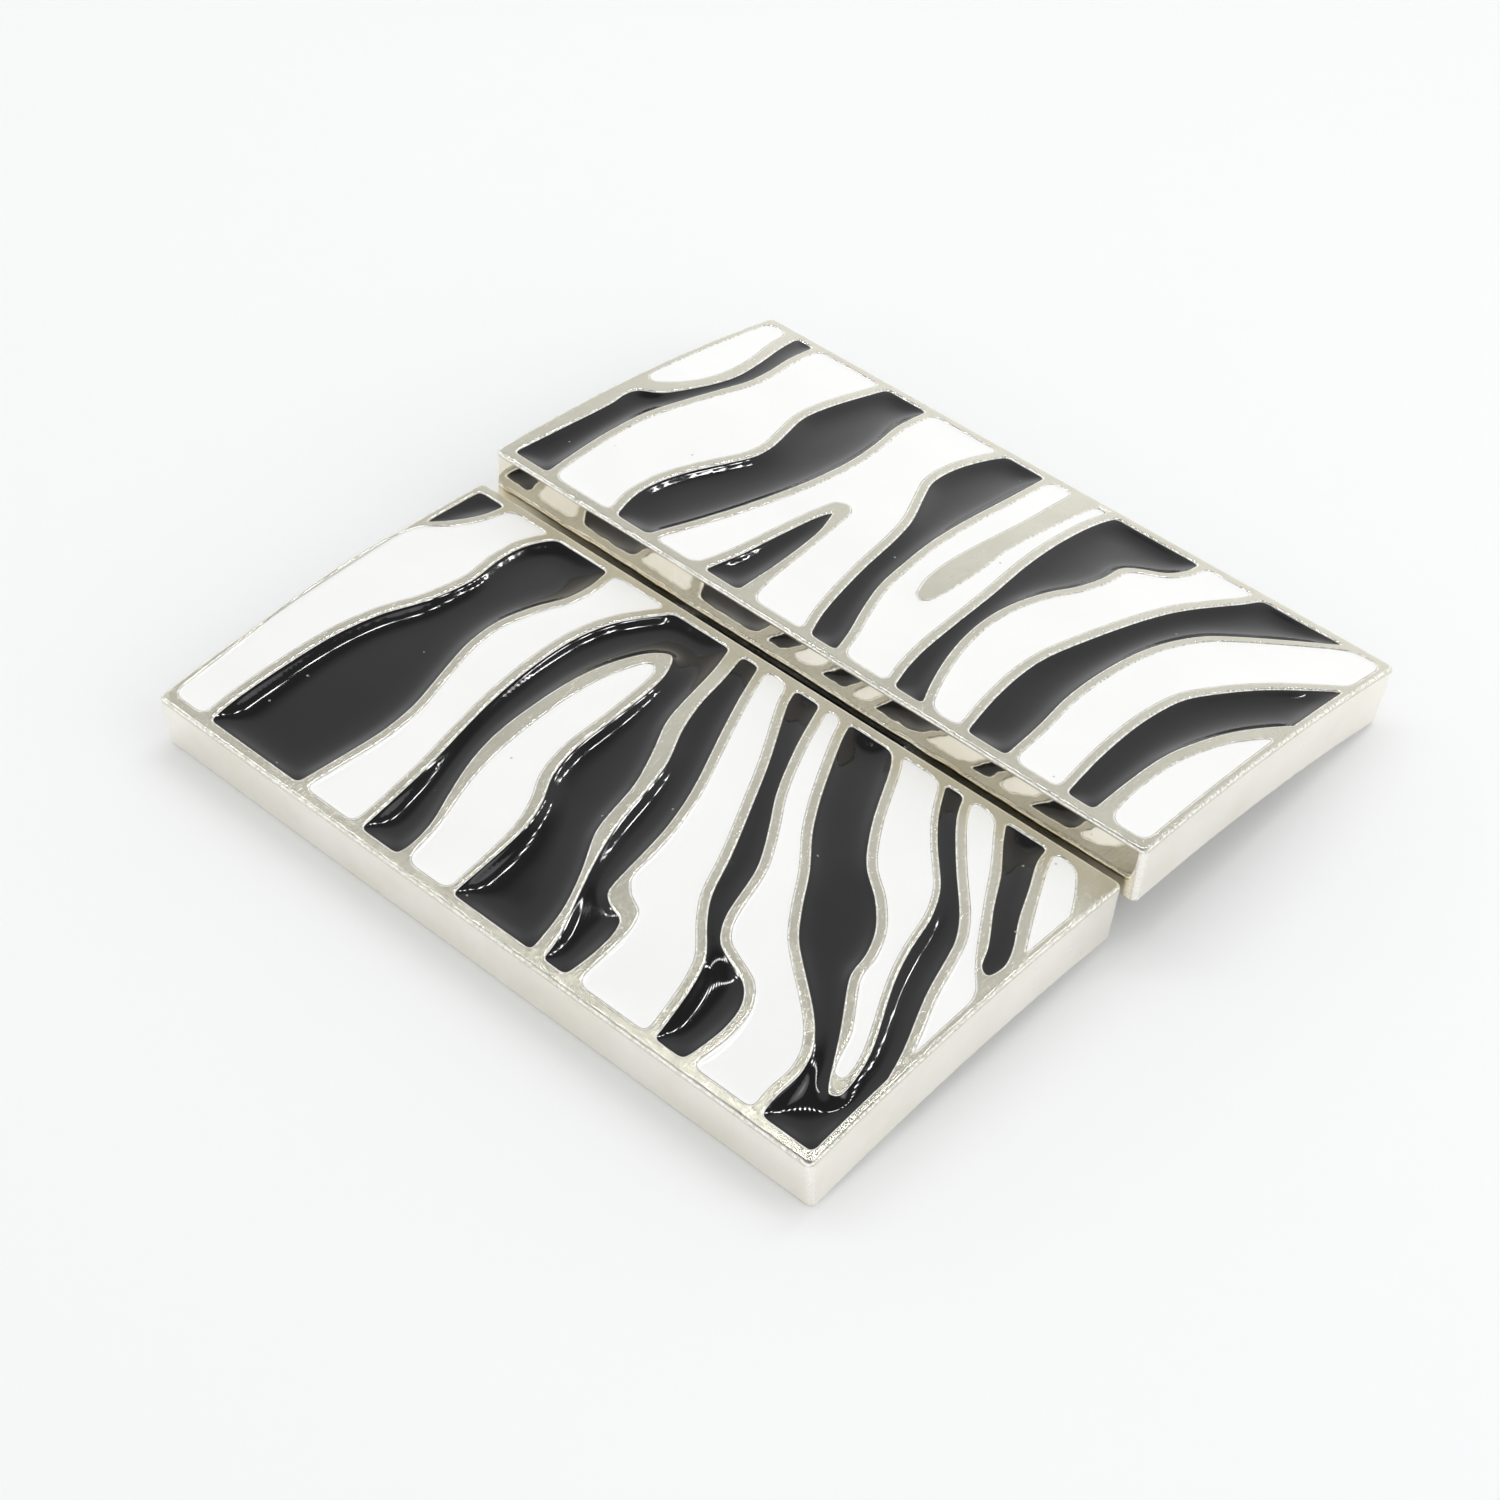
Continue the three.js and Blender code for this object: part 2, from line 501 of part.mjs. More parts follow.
// The joint's place in x, with the whole clasp centred on the origin
const jointX = (JOINT_GAP + CHORD * (Math.cos(HOOK_TILT) - Math.cos(CATCH_TILT))) / 2;

const hook = hookHalf();
hook.rotation.y = HOOK_TILT;
const hookSide = new THREE.Group();
hookSide.add(hook);
hookSide.rotation.z = Math.PI;
hookSide.position.set(jointX - JOINT_GAP, HOOK_SHIFT / 2, jointHeight(HOOK_TILT));

const catchSide = catchHalf(pinInHalf());
catchSide.rotation.y = CATCH_TILT;
catchSide.position.set(jointX, -HOOK_SHIFT / 2, jointHeight(CATCH_TILT));

const clasp = new THREE.Group();
clasp.add(hookSide, catchSide);

export default clasp;
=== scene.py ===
"""Looks of a two-piece hook clasp for a waist belt: two arched plates with a zebra pattern in enamel.

Lengths are in millimetres in each half's own plan and in metres in the shared frame. A half's plan
has y along the joint, s outwards from the joint along the arched top, and a depth square to it.
"""

import math

import bmesh
import bpy
import numpy as np
from mathutils import Matrix, Vector, geometry

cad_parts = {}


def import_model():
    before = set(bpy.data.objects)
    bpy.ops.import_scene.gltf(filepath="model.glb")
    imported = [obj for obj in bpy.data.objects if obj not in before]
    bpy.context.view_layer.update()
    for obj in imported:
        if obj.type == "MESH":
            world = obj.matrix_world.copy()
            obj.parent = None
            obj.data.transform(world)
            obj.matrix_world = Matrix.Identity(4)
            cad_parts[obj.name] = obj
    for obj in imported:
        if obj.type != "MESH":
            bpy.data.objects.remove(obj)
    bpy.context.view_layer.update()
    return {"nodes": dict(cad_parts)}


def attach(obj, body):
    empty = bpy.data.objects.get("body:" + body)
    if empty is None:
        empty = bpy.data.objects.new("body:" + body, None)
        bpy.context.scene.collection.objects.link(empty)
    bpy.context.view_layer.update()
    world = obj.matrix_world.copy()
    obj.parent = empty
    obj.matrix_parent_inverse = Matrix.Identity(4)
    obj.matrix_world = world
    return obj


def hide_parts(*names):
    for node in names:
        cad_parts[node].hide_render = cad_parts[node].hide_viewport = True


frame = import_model()

MM = 0.001

# The castings, as in the CAD part
WIDTH = 60.0
ARC_LENGTH = 32.0
ARC_RADIUS = 150.0
WALL_HEIGHT = 4.8
DECK = 1.4
WALL = 1.3
POCKET_DEPTH = 0.7
RIM_END = 1.0
RIM_SIDE = 0.7
HALF_ANGLE = ARC_LENGTH / ARC_RADIUS / 2
CHORD = 2 * ARC_RADIUS * math.sin(HALF_ANGLE)

# The hidden pieces, as in the CAD part
CLEARANCE = 0.3
TONGUE = {"width": 20.0, "thickness": 1.2, "top": -1.9, "tip": -6.6, "inside": 13.0, "lip": 2.1}
PIN = {"radius": 0.9, "length": 29.0, "x": 3.4, "z": 5.05}
PIN_LUG = {"thickness": 2.0, "inset": 1.2, "start": 0.9, "beside": 2.1, "below": 1.1, "top": -0.9}
RIVET = {"spacing": 12.0, "x": 8.5, "shank": 1.1, "head": 2.0, "head_height": 0.6}
RIVET_PLACES = [(RIVET["x"], side * RIVET["spacing"] / 2, 0) for side in (-1, 1)]
BOSS = {"radius": 2.6, "top": -0.4}
BELT_BAR = {"x": 25.5, "z": -3.1, "width": 2.6, "thickness": 1.5, "tenon": 1.0}
BAR_LUG = {"depth": 2.2, "beside": 1.4, "below": 0.5}
NOTCH_HEIGHT = 1.2
PAST_WALL = 1.2  # how far the tongue's notch runs on past the wall
ROOT = 0.4  # how far a lug goes into its wall
RIVET_ROOM = 0.15
OUTSIDE = 1.0  # how far a cutting solid stands out of what it cuts

# Edges that the casting and plating leave
RIM_ROUND = 0.28
LINE_ROUND = 0.17
FOOT_ROUND = 0.15
CORNER_ROUND = 0.5
POCKET_CORNER = {"black": 0.35, "white": 0.75}
UNDER_FILLET = 0.35
SMALL_EASE = 0.15
SHARPEST_CORNER = 0.08
INNER_CORNER = 0.7

# Flat strips beside the rounded edges, which keep the shading of the faces next to them clean
RIM_STRIP = 0.04
LINE_STRIP = 0.03
WALL_STRIP = 0.06
FOOT_STRIP = 0.05
LINE_METAL_DEPTH = 0.6  # the rim, the lines and the pocket walls down to here are line metal

# How finely the meshes are made
RIM_POINTS_SIDE = 64
RIM_POINTS_END = 104
RIM_POINTS_CORNER = 7
CEILING_MARGIN = 0.8
CEILING_STEP_Y = 2.0
CEILING_STEP_S = 1.6
OUTLINE_STEP = 0.25
DEGREES_A_STEP = 14
CORNER_DEGREES = 52  # an outline that turns more than this at a point has a corner there
FILLET_DEGREES = 35
CORNER_SHARE = 0.6  # a moved outline goes at most 1 / 0.6 times as far at its sharp corners
ARC_DEGREES = (0, 30, 60, 90)
RIM_DEGREES = (0, 20, 40, 60, 78, 90)
TURNED_SIDES = 40
BAR_CORNER_STEPS = 4
MERGE_DISTANCE = 2e-7  # in metres
SHORTEST_EDGE = 1e-8  # in metres
CASTING_SHARP = 40  # degrees from which an edge is shaded as sharp
SMALL_SHARP = 50

# How far a point may lie off the surface or line it belongs to
DECK_TOLERANCE = 0.06
LINE_TOLERANCE = 0.01
STRAIGHT_TOLERANCE = 0.002
JOINT_WALL_TOLERANCE = 0.02


class Half:
    """One arched plate and how it lies in the shared frame."""

    def __init__(self, name, tilt, joint_x, shift, outwards):
        self.name = name
        self.body = f"{name}_half"
        self.tilt = math.radians(tilt)
        self.joint_x = joint_x
        self.shift = shift
        self.outwards = outwards
        self.height = CHORD * math.sin(self.tilt) + WALL_HEIGHT * math.cos(HALF_ANGLE + self.tilt)

    def placed(self, points):
        """Points of the half's own frame (x outwards, y, z up; mm) in the shared frame, in metres."""
        x, y, z = np.asarray(points, float).T
        c, s = math.cos(self.tilt), math.sin(self.tilt)
        return MM * np.column_stack(
            (self.joint_x + self.outwards * (x * c + z * s), self.shift + y, self.height + z * c - x * s)
        )

    def bent(self, plan):
        """Plan points (y, s, depth) on the arch, in the shared frame."""
        y, s, depth = np.asarray(plan, float).T
        angle = s / ARC_RADIUS - HALF_ANGLE
        radius = ARC_RADIUS - depth
        x = ARC_RADIUS * math.sin(HALF_ANGLE) + radius * np.sin(angle)
        z = radius * np.cos(angle) - ARC_RADIUS * math.cos(HALF_ANGLE)
        return self.placed(np.column_stack((x, y, z)))

    def plan_of(self, points):
        """Plan points (y, s, depth) below which points of the shared frame lie."""
        x, y, z = np.asarray(points, float).T / MM
        x = self.outwards * (x - self.joint_x)
        z = z - self.height
        c, s = math.cos(self.tilt), math.sin(self.tilt)
        across = x * c - z * s - ARC_RADIUS * math.sin(HALF_ANGLE)
        up = x * s + z * c + ARC_RADIUS * math.cos(HALF_ANGLE)
        arc = ARC_RADIUS * (np.arcsin(np.clip(across / ARC_RADIUS, -1, 1)) + HALF_ANGLE)
        return np.column_stack((y - self.shift, arc, ARC_RADIUS - np.hypot(across, up)))


JOINT_GAP = 0.4
SHIFT = 0.45
HOOK_TILT = 1.4
CATCH_TILT = 7.5
JOINT_X = (
    JOINT_GAP + CHORD * (math.cos(math.radians(HOOK_TILT)) - math.cos(math.radians(CATCH_TILT)))
) / 2
HOOK = Half("hook", HOOK_TILT, JOINT_X - JOINT_GAP, SHIFT, -1)
CATCH = Half("catch", CATCH_TILT, JOINT_X, -SHIFT, 1)


# ---- Outlines in plan --------------------


def area_of(loop):
    """The area inside an outline, above 0 where it runs counter-clockwise."""
    y, s = loop.T
    return 0.5 * float(np.sum(y * np.roll(s, -1) - np.roll(y, -1) * s))


def chained(edges):
    """Closed loops of a set of directed edges."""
    following = {}
    for a, b in edges:
        following.setdefault(a, []).append(b)
    loops = []
    while following:
        start = next(iter(following))
        loop, at = [], start
        while at in following:
            loop.append(at)
            options = following[at]
            onward = options.pop()
            if not options:
                del following[at]
            at = onward
        loops.append(np.array(loop, float))
    return loops


def deck_loops(half):
    """The edges of the enamel pockets in the CAD casting's top, counter-clockwise in plan."""
    mesh = frame["nodes"][f"{half.name}_frame"].data
    plan = half.plan_of([v.co for v in mesh.vertices])
    names = [tuple(p) for p in np.round(plan[:, :2], 3)]
    edges = set()
    for polygon in mesh.polygons:
        corners = list(polygon.vertices)
        upright = abs(polygon.normal.y) > 0.5
        if upright or plan[corners, 2].max() > DECK_TOLERANCE:
            continue
        for a, b in zip(corners, corners[1:] + corners[:1]):
            if names[a] == names[b]:
                continue
            if (names[b], names[a]) in edges:
                edges.remove((names[b], names[a]))
            else:
                edges.add((names[a], names[b]))
    loops = sorted(chained(edges), key=lambda loop: abs(area_of(loop)))[:-1]
    return [loop if area_of(loop) > 0 else loop[::-1] for loop in loops]


def turns(loop):
    """How far the outline turns at each point, in radians."""
    a = loop - np.roll(loop, 1, 0)
    b = np.roll(loop, -1, 0) - loop
    cross = a[:, 0] * b[:, 1] - a[:, 1] * b[:, 0]
    return np.arctan2(cross, np.sum(a * b, 1))


def without_straight_points(loop):
    """Drops the points that lie on the line between their neighbours."""
    before, after = np.roll(loop, 1, 0), np.roll(loop, -1, 0)
    span = after - before
    off = np.abs(span[:, 0] * (loop - before)[:, 1] - span[:, 1] * (loop - before)[:, 0])
    return loop[off / np.maximum(np.hypot(*span.T), 1e-6) > STRAIGHT_TOLERANCE]


def on_field_limit(loop):
    """Which points lie where the enamelled field ends at the bare rim."""
    y, s = loop.T
    sides = np.abs(np.abs(y) - (WIDTH / 2 - RIM_SIDE)) < LINE_TOLERANCE
    joint_end = np.abs(s - RIM_END) < LINE_TOLERANCE
    far_end = np.abs(s - ARC_LENGTH + RIM_END) < LINE_TOLERANCE
    return sides | joint_end | far_end


def smooth_span(p0, p1, p2, p3, count):
    """Centripetal Catmull-Rom points from p1 up to, not including, p2."""
    t1 = math.sqrt(math.dist(p0, p1)) or 1e-3
    t2 = t1 + (math.sqrt(math.dist(p1, p2)) or 1e-3)
    t3 = t2 + (math.sqrt(math.dist(p2, p3)) or 1e-3)
    t = np.linspace(t1, t2, count, endpoint=False)[:, None]
    a1 = (t1 - t) / t1 * p0 + t / t1 * p1
    a2 = (t2 - t) / (t2 - t1) * p1 + (t - t1) / (t2 - t1) * p2
    a3 = (t3 - t) / (t3 - t2) * p2 + (t - t2) / (t3 - t2) * p3
    b1 = (t2 - t) / t2 * a1 + t / t2 * a2
    b2 = (t3 - t) / (t3 - t1) * a2 + (t - t1) / (t3 - t1) * a3
    return (t2 - t) / (t2 - t1) * b1 + (t - t1) / (t2 - t1) * b2


def smoothed(loop, corner_reach):
    """The outline as one smooth run between rounded corners."""
    loop = without_straight_points(loop)
    corner = on_field_limit(loop) | (np.abs(turns(loop)) > math.radians(CORNER_DEGREES))
    if corner.any():
        first = int(np.argmax(corner))
        loop, corner = np.roll(loop, -first, 0), np.roll(corner, -first)
    n = len(loop)
    bend = np.abs(turns(loop))
    points = []
    for i in range(n):
        p1, p2 = loop[i], loop[(i + 1) % n]
        p0 = 2 * p1 - p2 if corner[i] else loop[i - 1]
        p3 = 2 * p2 - p1 if corner[(i + 1) % n] else loop[(i + 2) % n]
        for_length = math.ceil(math.dist(p1, p2) / OUTLINE_STEP)
        for_bend = 1 + int(math.degrees(bend[i]) / DEGREES_A_STEP)
        points.append(smooth_span(p0, p1, p2, p3, max(for_length, for_bend)))
    return with_round_corners(np.concatenate(points), corner_reach)


def fillet(start, corner, end):
    """Points of a curve that cuts a corner, between its start and end."""
    shares = (0.2, 0.35, 0.5, 0.65, 0.8)
    return [(1 - t) ** 2 * start + 2 * t * (1 - t) * corner + t * t * end for t in shares]


def with_round_corners(loop, corner_reach):
    """Rounds every sharp corner: less where it is acute, more where it is blunt."""
    n = len(loop)
    lengths = np.hypot(*(np.roll(loop, -1, 0) - loop).T)
    bends = np.abs(turns(loop))
    drop = np.zeros(n, bool)
    fillets = {}
    for i in np.flatnonzero(bends > math.radians(FILLET_DEGREES)):
        reach = corner_reach * (math.pi - bends[i]) / (math.pi / 2)
        ends = []
        for step in (-1, 1):
            k, gone = i, 0.0
            while gone < reach:
                drop[k] = True
                gone += lengths[k] if step > 0 else lengths[k - 1]
                k = (k + step) % n
            ends.append(loop[k])
        fillets[i] = fillet(ends[0], loop[i], ends[1])
    result = []
    for i in range(n):
        if i in fillets:
            result += fillets[i]
        elif not drop[i]:
            result.append(loop[i])
    return np.array(result)


def moved_in(loop, distance):
    """The outline moved inwards, or outwards where the distance is below 0."""
    a = loop - np.roll(loop, 1, 0)
    b = np.roll(loop, -1, 0) - loop
    a /= np.maximum(np.hypot(*a.T), 1e-9)[:, None]
    b /= np.maximum(np.hypot(*b.T), 1e-9)[:, None]
    left = np.column_stack((-(a[:, 1] + b[:, 1]), a[:, 0] + b[:, 0]))
    left /= np.maximum(np.hypot(*left.T), 1e-9)[:, None]
    share = np.maximum(np.abs(left[:, 1] * a[:, 0] - left[:, 0] * a[:, 1]), CORNER_SHARE)
    return loop + left * (distance / share)[:, None]


def is_inside(points, loop):
    """Which points lie inside a closed outline."""
    y, s = points[:, 0][:, None], points[:, 1][:, None]
    y0, s0 = loop.T
    y1, s1 = np.roll(loop, -1, 0).T
    crosses = (s0 > s) != (s1 > s)
    with np.errstate(divide="ignore", invalid="ignore"):
        at = y0 + (s - s0) * (y1 - y0) / (s1 - s0)
    return (crosses & (y < at)).sum(1) % 2 == 1


def distance_to(points, loop):
    """How far each point is from a closed outline."""
    ends = np.roll(loop, -1, 0)
    best = np.full(len(points), 1e9)
    for a, b in zip(loop, ends):
        along = b - a
        t = np.clip((points - a) @ along / max(along @ along, 1e-12), 0, 1)
        best = np.minimum(best, np.hypot(*(points - a - t[:, None] * along).T))
    return best


def rim_loop(inset, radius):
    """The plate's outline moved inwards, with round corners; the same number of points each time."""
    y1, s0, s1 = WIDTH / 2 - inset, inset, ARC_LENGTH - inset
    corners = []
    for y, s, start in ((y1, s0, -90), (y1, s1, 0), (-y1, s1, 90), (-y1, s0, 180)):
        centre_y = y - math.copysign(radius, y)
        centre_s = s + (radius if s == s0 else -radius)
        corner = []
        for k in range(RIM_POINTS_CORNER):
            turn = math.radians(start + 90 * k / (RIM_POINTS_CORNER - 1))
            corner.append((centre_y + radius * math.cos(turn), centre_s + radius * math.sin(turn)))
        corners.append(corner)
    points = []
    for i, corner in enumerate(corners):
        points += corner
        (ya, sa), (yb, sb) = corner[-1], corners[(i + 1) % 4][0]
        count = (RIM_POINTS_SIDE, RIM_POINTS_END)[i % 2]
        points += [(ya + (yb - ya) * k / count, sa + (sb - sa) * k / count) for k in range(1, count)]
    return np.array(points)


# ---- Building meshes --------------------


class Shell:
    """Plan points with a depth, and the faces between them."""

    def __init__(self):
        self.plan = []
        self.faces = []

    def ring(self, loop, depth):
        """Adds points at this depth, or at one depth each, and gives their numbers."""
        depths = np.broadcast_to(np.asarray(depth, float), (len(loop),))
        first = len(self.plan)
        self.plan.extend((y, s, d) for (y, s), d in zip(loop, depths))
        return list(range(first, len(self.plan)))

    def strip(self, a, b):
        """Quads between two closed rings of the same length."""
        n = len(a)
        for i in range(n):
            j = (i + 1) % n
            self.faces.append((a[i], a[j], b[j], b[i]))

    def fill(self, outer, holes=(), extra=()):
        """Triangles inside a ring, round its holes, through the extra points."""
        used = [*outer, *(i for hole in holes for i in hole), *extra]
        local = {index: k for k, index in enumerate(used)}
        coords = [Vector(self.plan[i][:2]) for i in used]
        edges = []
        for ring in (outer, *holes):
            edges += [(local[a], local[b]) for a, b in zip(ring, ring[1:] + ring[:1])]
        verts, _, triangles, origins, _, _ = geometry.delaunay_2d_cdt(coords, edges, [], 0, 1e-6)
        names = []
        for vert, origin in zip(verts, origins):
            if origin:
                names.append(used[origin[0]])
            else:
                near = min(used, key=lambda i: math.dist(self.plan[i][:2], vert))
                names.append(len(self.plan))
                self.plan.append((vert.x, vert.y, self.plan[near][2]))
        plan = np.array(self.plan)[:, :2]
        corners = np.array([[names[k] for k in t] for t in triangles])
        centres = plan[corners].mean(1)
        keep = is_inside(centres, plan[outer])
        for hole in holes:
            keep &= ~is_inside(centres, plan[hole])
        self.faces += [tuple(t) for t in corners[keep] if len(set(t)) == 3]


def finished_object(name, points, faces, body, materials, sharp=CASTING_SHARP):
    """A closed piece from points in metres, with its normals out and its sharp edges marked."""
    mesh = bpy.data.meshes.new(name)
    mesh.from_pydata([tuple(p) for p in points], [], faces)
    tidy(mesh)
    piece = bpy.data.objects.new(name, mesh)
    bpy.context.scene.collection.objects.link(piece)
    for material in materials:
        mesh.materials.append(material)
    mesh.set_sharp_from_angle(angle=math.radians(sharp))
    if body:
        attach(piece, body)
    return piece


def tidy(mesh):
    """Merges doubled points, drops loose and degenerate parts, turns all faces outwards and smooth."""
    bm = bmesh.new()
    bm.from_mesh(mesh)
    bmesh.ops.remove_doubles(bm, verts=bm.verts, dist=MERGE_DISTANCE)
    bmesh.ops.dissolve_degenerate(bm, edges=bm.edges, dist=SHORTEST_EDGE)
    loose = [v for v in bm.verts if not v.link_faces]
    bmesh.ops.delete(bm, geom=loose, context="VERTS")
    bmesh.ops.recalc_face_normals(bm, faces=bm.faces)
    for face in bm.faces:
        face.smooth = True
    bm.to_mesh(mesh)
    bm.free()


def carved(piece, other, operation):
    """Joins another mesh object to a piece, or cuts it out, and removes that object."""
    modifier = piece.modifiers.new("carve", "BOOLEAN")
    modifier.operation = operation
    modifier.solver = "EXACT"
    modifier.object = other
    bpy.context.view_layer.update()
    evaluated = piece.evaluated_get(bpy.context.evaluated_depsgraph_get())
    result = bpy.data.meshes.new_from_object(evaluated)
    piece.modifiers.clear()
    old = piece.data
    piece.data = result
    bpy.data.meshes.remove(old)
    bpy.data.objects.remove(other)


def loft(sections):
    """Points and faces of a closed solid through rings of the same number of points."""
    count = len(sections[0])
    points = [p for section in sections for p in section]
    faces = [tuple(reversed(range(count)))]
    for k in range(len(sections) - 1):
        for i in range(count):
            j = (i + 1) % count
            faces.append((k * count + i, k * count + j, (k + 1) * count + j, (k + 1) * count + i))
    faces.append(tuple(range((len(sections) - 1) * count, len(sections) * count)))
    return points, faces


def rounded_rectangle(half_a, half_b, radius):
    """Points round a rectangle with round corners, about its middle."""
    points = []
    for ca, cb, start in ((1, -1, -90), (1, 1, 0), (-1, 1, 90), (-1, -1, 180)):
        for k in range(BAR_CORNER_STEPS + 1):
            turn = math.radians(start + 90 * k / BAR_CORNER_STEPS)
            points.append((ca * (half_a - radius) + radius * math.cos(turn),
                           cb * (half_b - radius) + radius * math.sin(turn)))
    return points


def bar(x, z, half_x, half_z, y0, y1, edge):
    """A bar along y with rounded long edges and eased ends, in a half's own frame."""
    ease = 0.3 * edge
    ends = ((y0, edge), (y0 + ease, ease), (y0 + edge, 0), (y1 - edge, 0), (y1 - ease, ease), (y1, edge))
    sections = []
    for y, inset in ends:
        outline = rounded_rectangle(half_x - inset, half_z - inset, max(edge * 1.6 - inset, 0.03))
        sections.append([(x + a, y, z + b) for a, b in outline])
    return loft(sections)


def turned(profile, centre, axis):
    """A turned piece from (radius, place along the axis) marks; the axis is 'y' or 'z'."""
    sections = []
    for radius, place in profile:
        ring = []
        for i in range(TURNED_SIDES):
            turn = 2 * math.pi * i / TURNED_SIDES
            a, b = radius * math.cos(turn), radius * math.sin(turn)
            offset = (a, place, b) if axis == "y" else (a, b, place)
            ring.append(tuple(c + o for c, o in zip(centre, offset)))
        sections.append(ring)
    return loft(sections)


def raw_object(solids, half):
    """One mesh object of several solids of a half's own frame, for joining and cutting."""
    points, faces = [], []
    for solid_points, solid_faces in solids:
        first = len(points)
        points += solid_points
        faces += [tuple(i + first for i in face) for face in solid_faces]
    return finished_object("carver", half.placed(points), faces, None, [])


# ---- Materials --------------------


class Nodes:
    """Short calls for building one material's node tree."""

    def __init__(self, name):
        self.material = bpy.data.materials.new(name)
        self.material.use_nodes = True
        self.tree = self.material.node_tree
        self.shader = self.tree.nodes["Principled BSDF"]
        coordinates = self.tree.nodes.new("ShaderNodeTexCoord")
        scale = self.tree.nodes.new("ShaderNodeVectorMath")
        scale.operation = "SCALE"
        scale.inputs["Scale"].default_value = 1 / MM
        self.link(coordinates.outputs["Object"], scale.inputs[0])
        self.place = scale.outputs[0]

    def link(self, output, socket):
        """Joins an output to a socket."""
        self.tree.links.new(output, socket)

    def put(self, value, socket):
        """Sets a socket to a number or colour, or joins an output to it."""
        if isinstance(value, (int, float, tuple)):
            socket.default_value = value
        else:
            self.link(value, socket)

    def noise(self, per_mm, detail=3.0, roughness=0.5, stretch=None, distortion=0.0):
        """Noise with this many features a millimetre, 0 to 1."""
        node = self.tree.nodes.new("ShaderNodeTexNoise")
        node.inputs["Scale"].default_value = per_mm
        node.inputs["Detail"].default_value = detail
        node.inputs["Roughness"].default_value = roughness
        node.inputs["Distortion"].default_value = distortion
        self.link(self.stretched(stretch) if stretch else self.place, node.inputs["Vector"])
        return node.outputs["Fac"]

    def stretched(self, factors):
        """The place with each axis scaled by its own factor."""
        node = self.tree.nodes.new("ShaderNodeVectorMath")
        node.operation = "MULTIPLY"
        self.link(self.place, node.inputs[0])
        node.inputs[1].default_value = factors
        return node.outputs[0]

    def spots(self, per_mm, radius, share):
        """Small round spots, their radius as a share of a cell, in about this share of the cells."""
        node = self.tree.nodes.new("ShaderNodeTexVoronoi")
        node.inputs["Scale"].default_value = per_mm
        self.link(self.place, node.inputs["Vector"])
        near = self.ramp(node.outputs["Distance"], radius * 0.6, radius, 1.0, 0.0)
        split = self.tree.nodes.new("ShaderNodeSeparateColor")
        self.link(node.outputs["Color"], split.inputs[0])
        chosen = self.math("LESS_THAN", split.outputs[0], share)
        return self.math("MULTIPLY", near, chosen)

    def math(self, operation, a, b=0.0, clamp=False):
        """The result of one sum, product or comparison."""
        node = self.tree.nodes.new("ShaderNodeMath")
        node.operation = operation
        node.use_clamp = clamp
        self.put(a, node.inputs[0])
        self.put(b, node.inputs[1])
        return node.outputs[0]

    def ramp(self, value, low, high, out_low=0.0, out_high=1.0):
        """The value spread from one range to another and kept inside it."""
        node = self.tree.nodes.new("ShaderNodeMapRange")
        self.put(value, node.inputs["Value"])
        limits = {"From Min": low, "From Max": high, "To Min": out_low, "To Max": out_high}
        for socket, number in limits.items():
            node.inputs[socket].default_value = number
        return node.outputs["Result"]

    def blend(self, factor, a, b):
        """A mix of two colours, from the first at 0 to the second at 1."""
        node = self.tree.nodes.new("ShaderNodeMix")
        node.data_type = "RGBA"
        self.put(factor, node.inputs["Factor"])
        self.put(a, node.inputs["A"])
        self.put(b, node.inputs["B"])
        return node.outputs["Result"]

    def attribute(self, name):
        """The value that the mesh carries under this name."""
        node = self.tree.nodes.new("ShaderNodeAttribute")
        node.attribute_name = name
        return node.outputs["Fac"]

    def bump(self, height, distance, before=None):
        """Relief of this height in millimetres where the value goes from 0 to 1."""
        node = self.tree.nodes.new("ShaderNodeBump")
        node.inputs["Distance"].default_value = distance * MM
        self.link(height, node.inputs["Height"])
        if before is not None:
            self.link(before, node.inputs["Normal"])
        return node.outputs["Normal"]

    def finish(self, colour, roughness, normal, **fixed):
        """Sets the shader, with any further socket named with _ for each space."""
        self.put(colour, self.shader.inputs["Base Color"])
        self.put(roughness, self.shader.inputs["Roughness"])
        if normal is not None:
            self.link(normal, self.shader.inputs["Normal"])
        for socket, value in fixed.items():
            self.shader.inputs[socket.replace("_", " ")].default_value = value
        return self.material


PIT_COLOUR = (0.33, 0.29, 0.24, 1.0)
# Pale nickel for convex edges: partly real polished wear, partly a painted highlight along edges that
# catch the lamps
WORN_NICKEL_AND_HIGHLIGHT = (0.99, 0.975, 0.93, 1.0)
STEEL_DARK = (0.5, 0.5, 0.49, 1.0)
STEEL_PALE = (0.66, 0.66, 0.64, 1.0)
STEEL_STAIN = (0.42, 0.4, 0.36, 1.0)
WORN_STEEL = (0.82, 0.82, 0.8, 1.0)


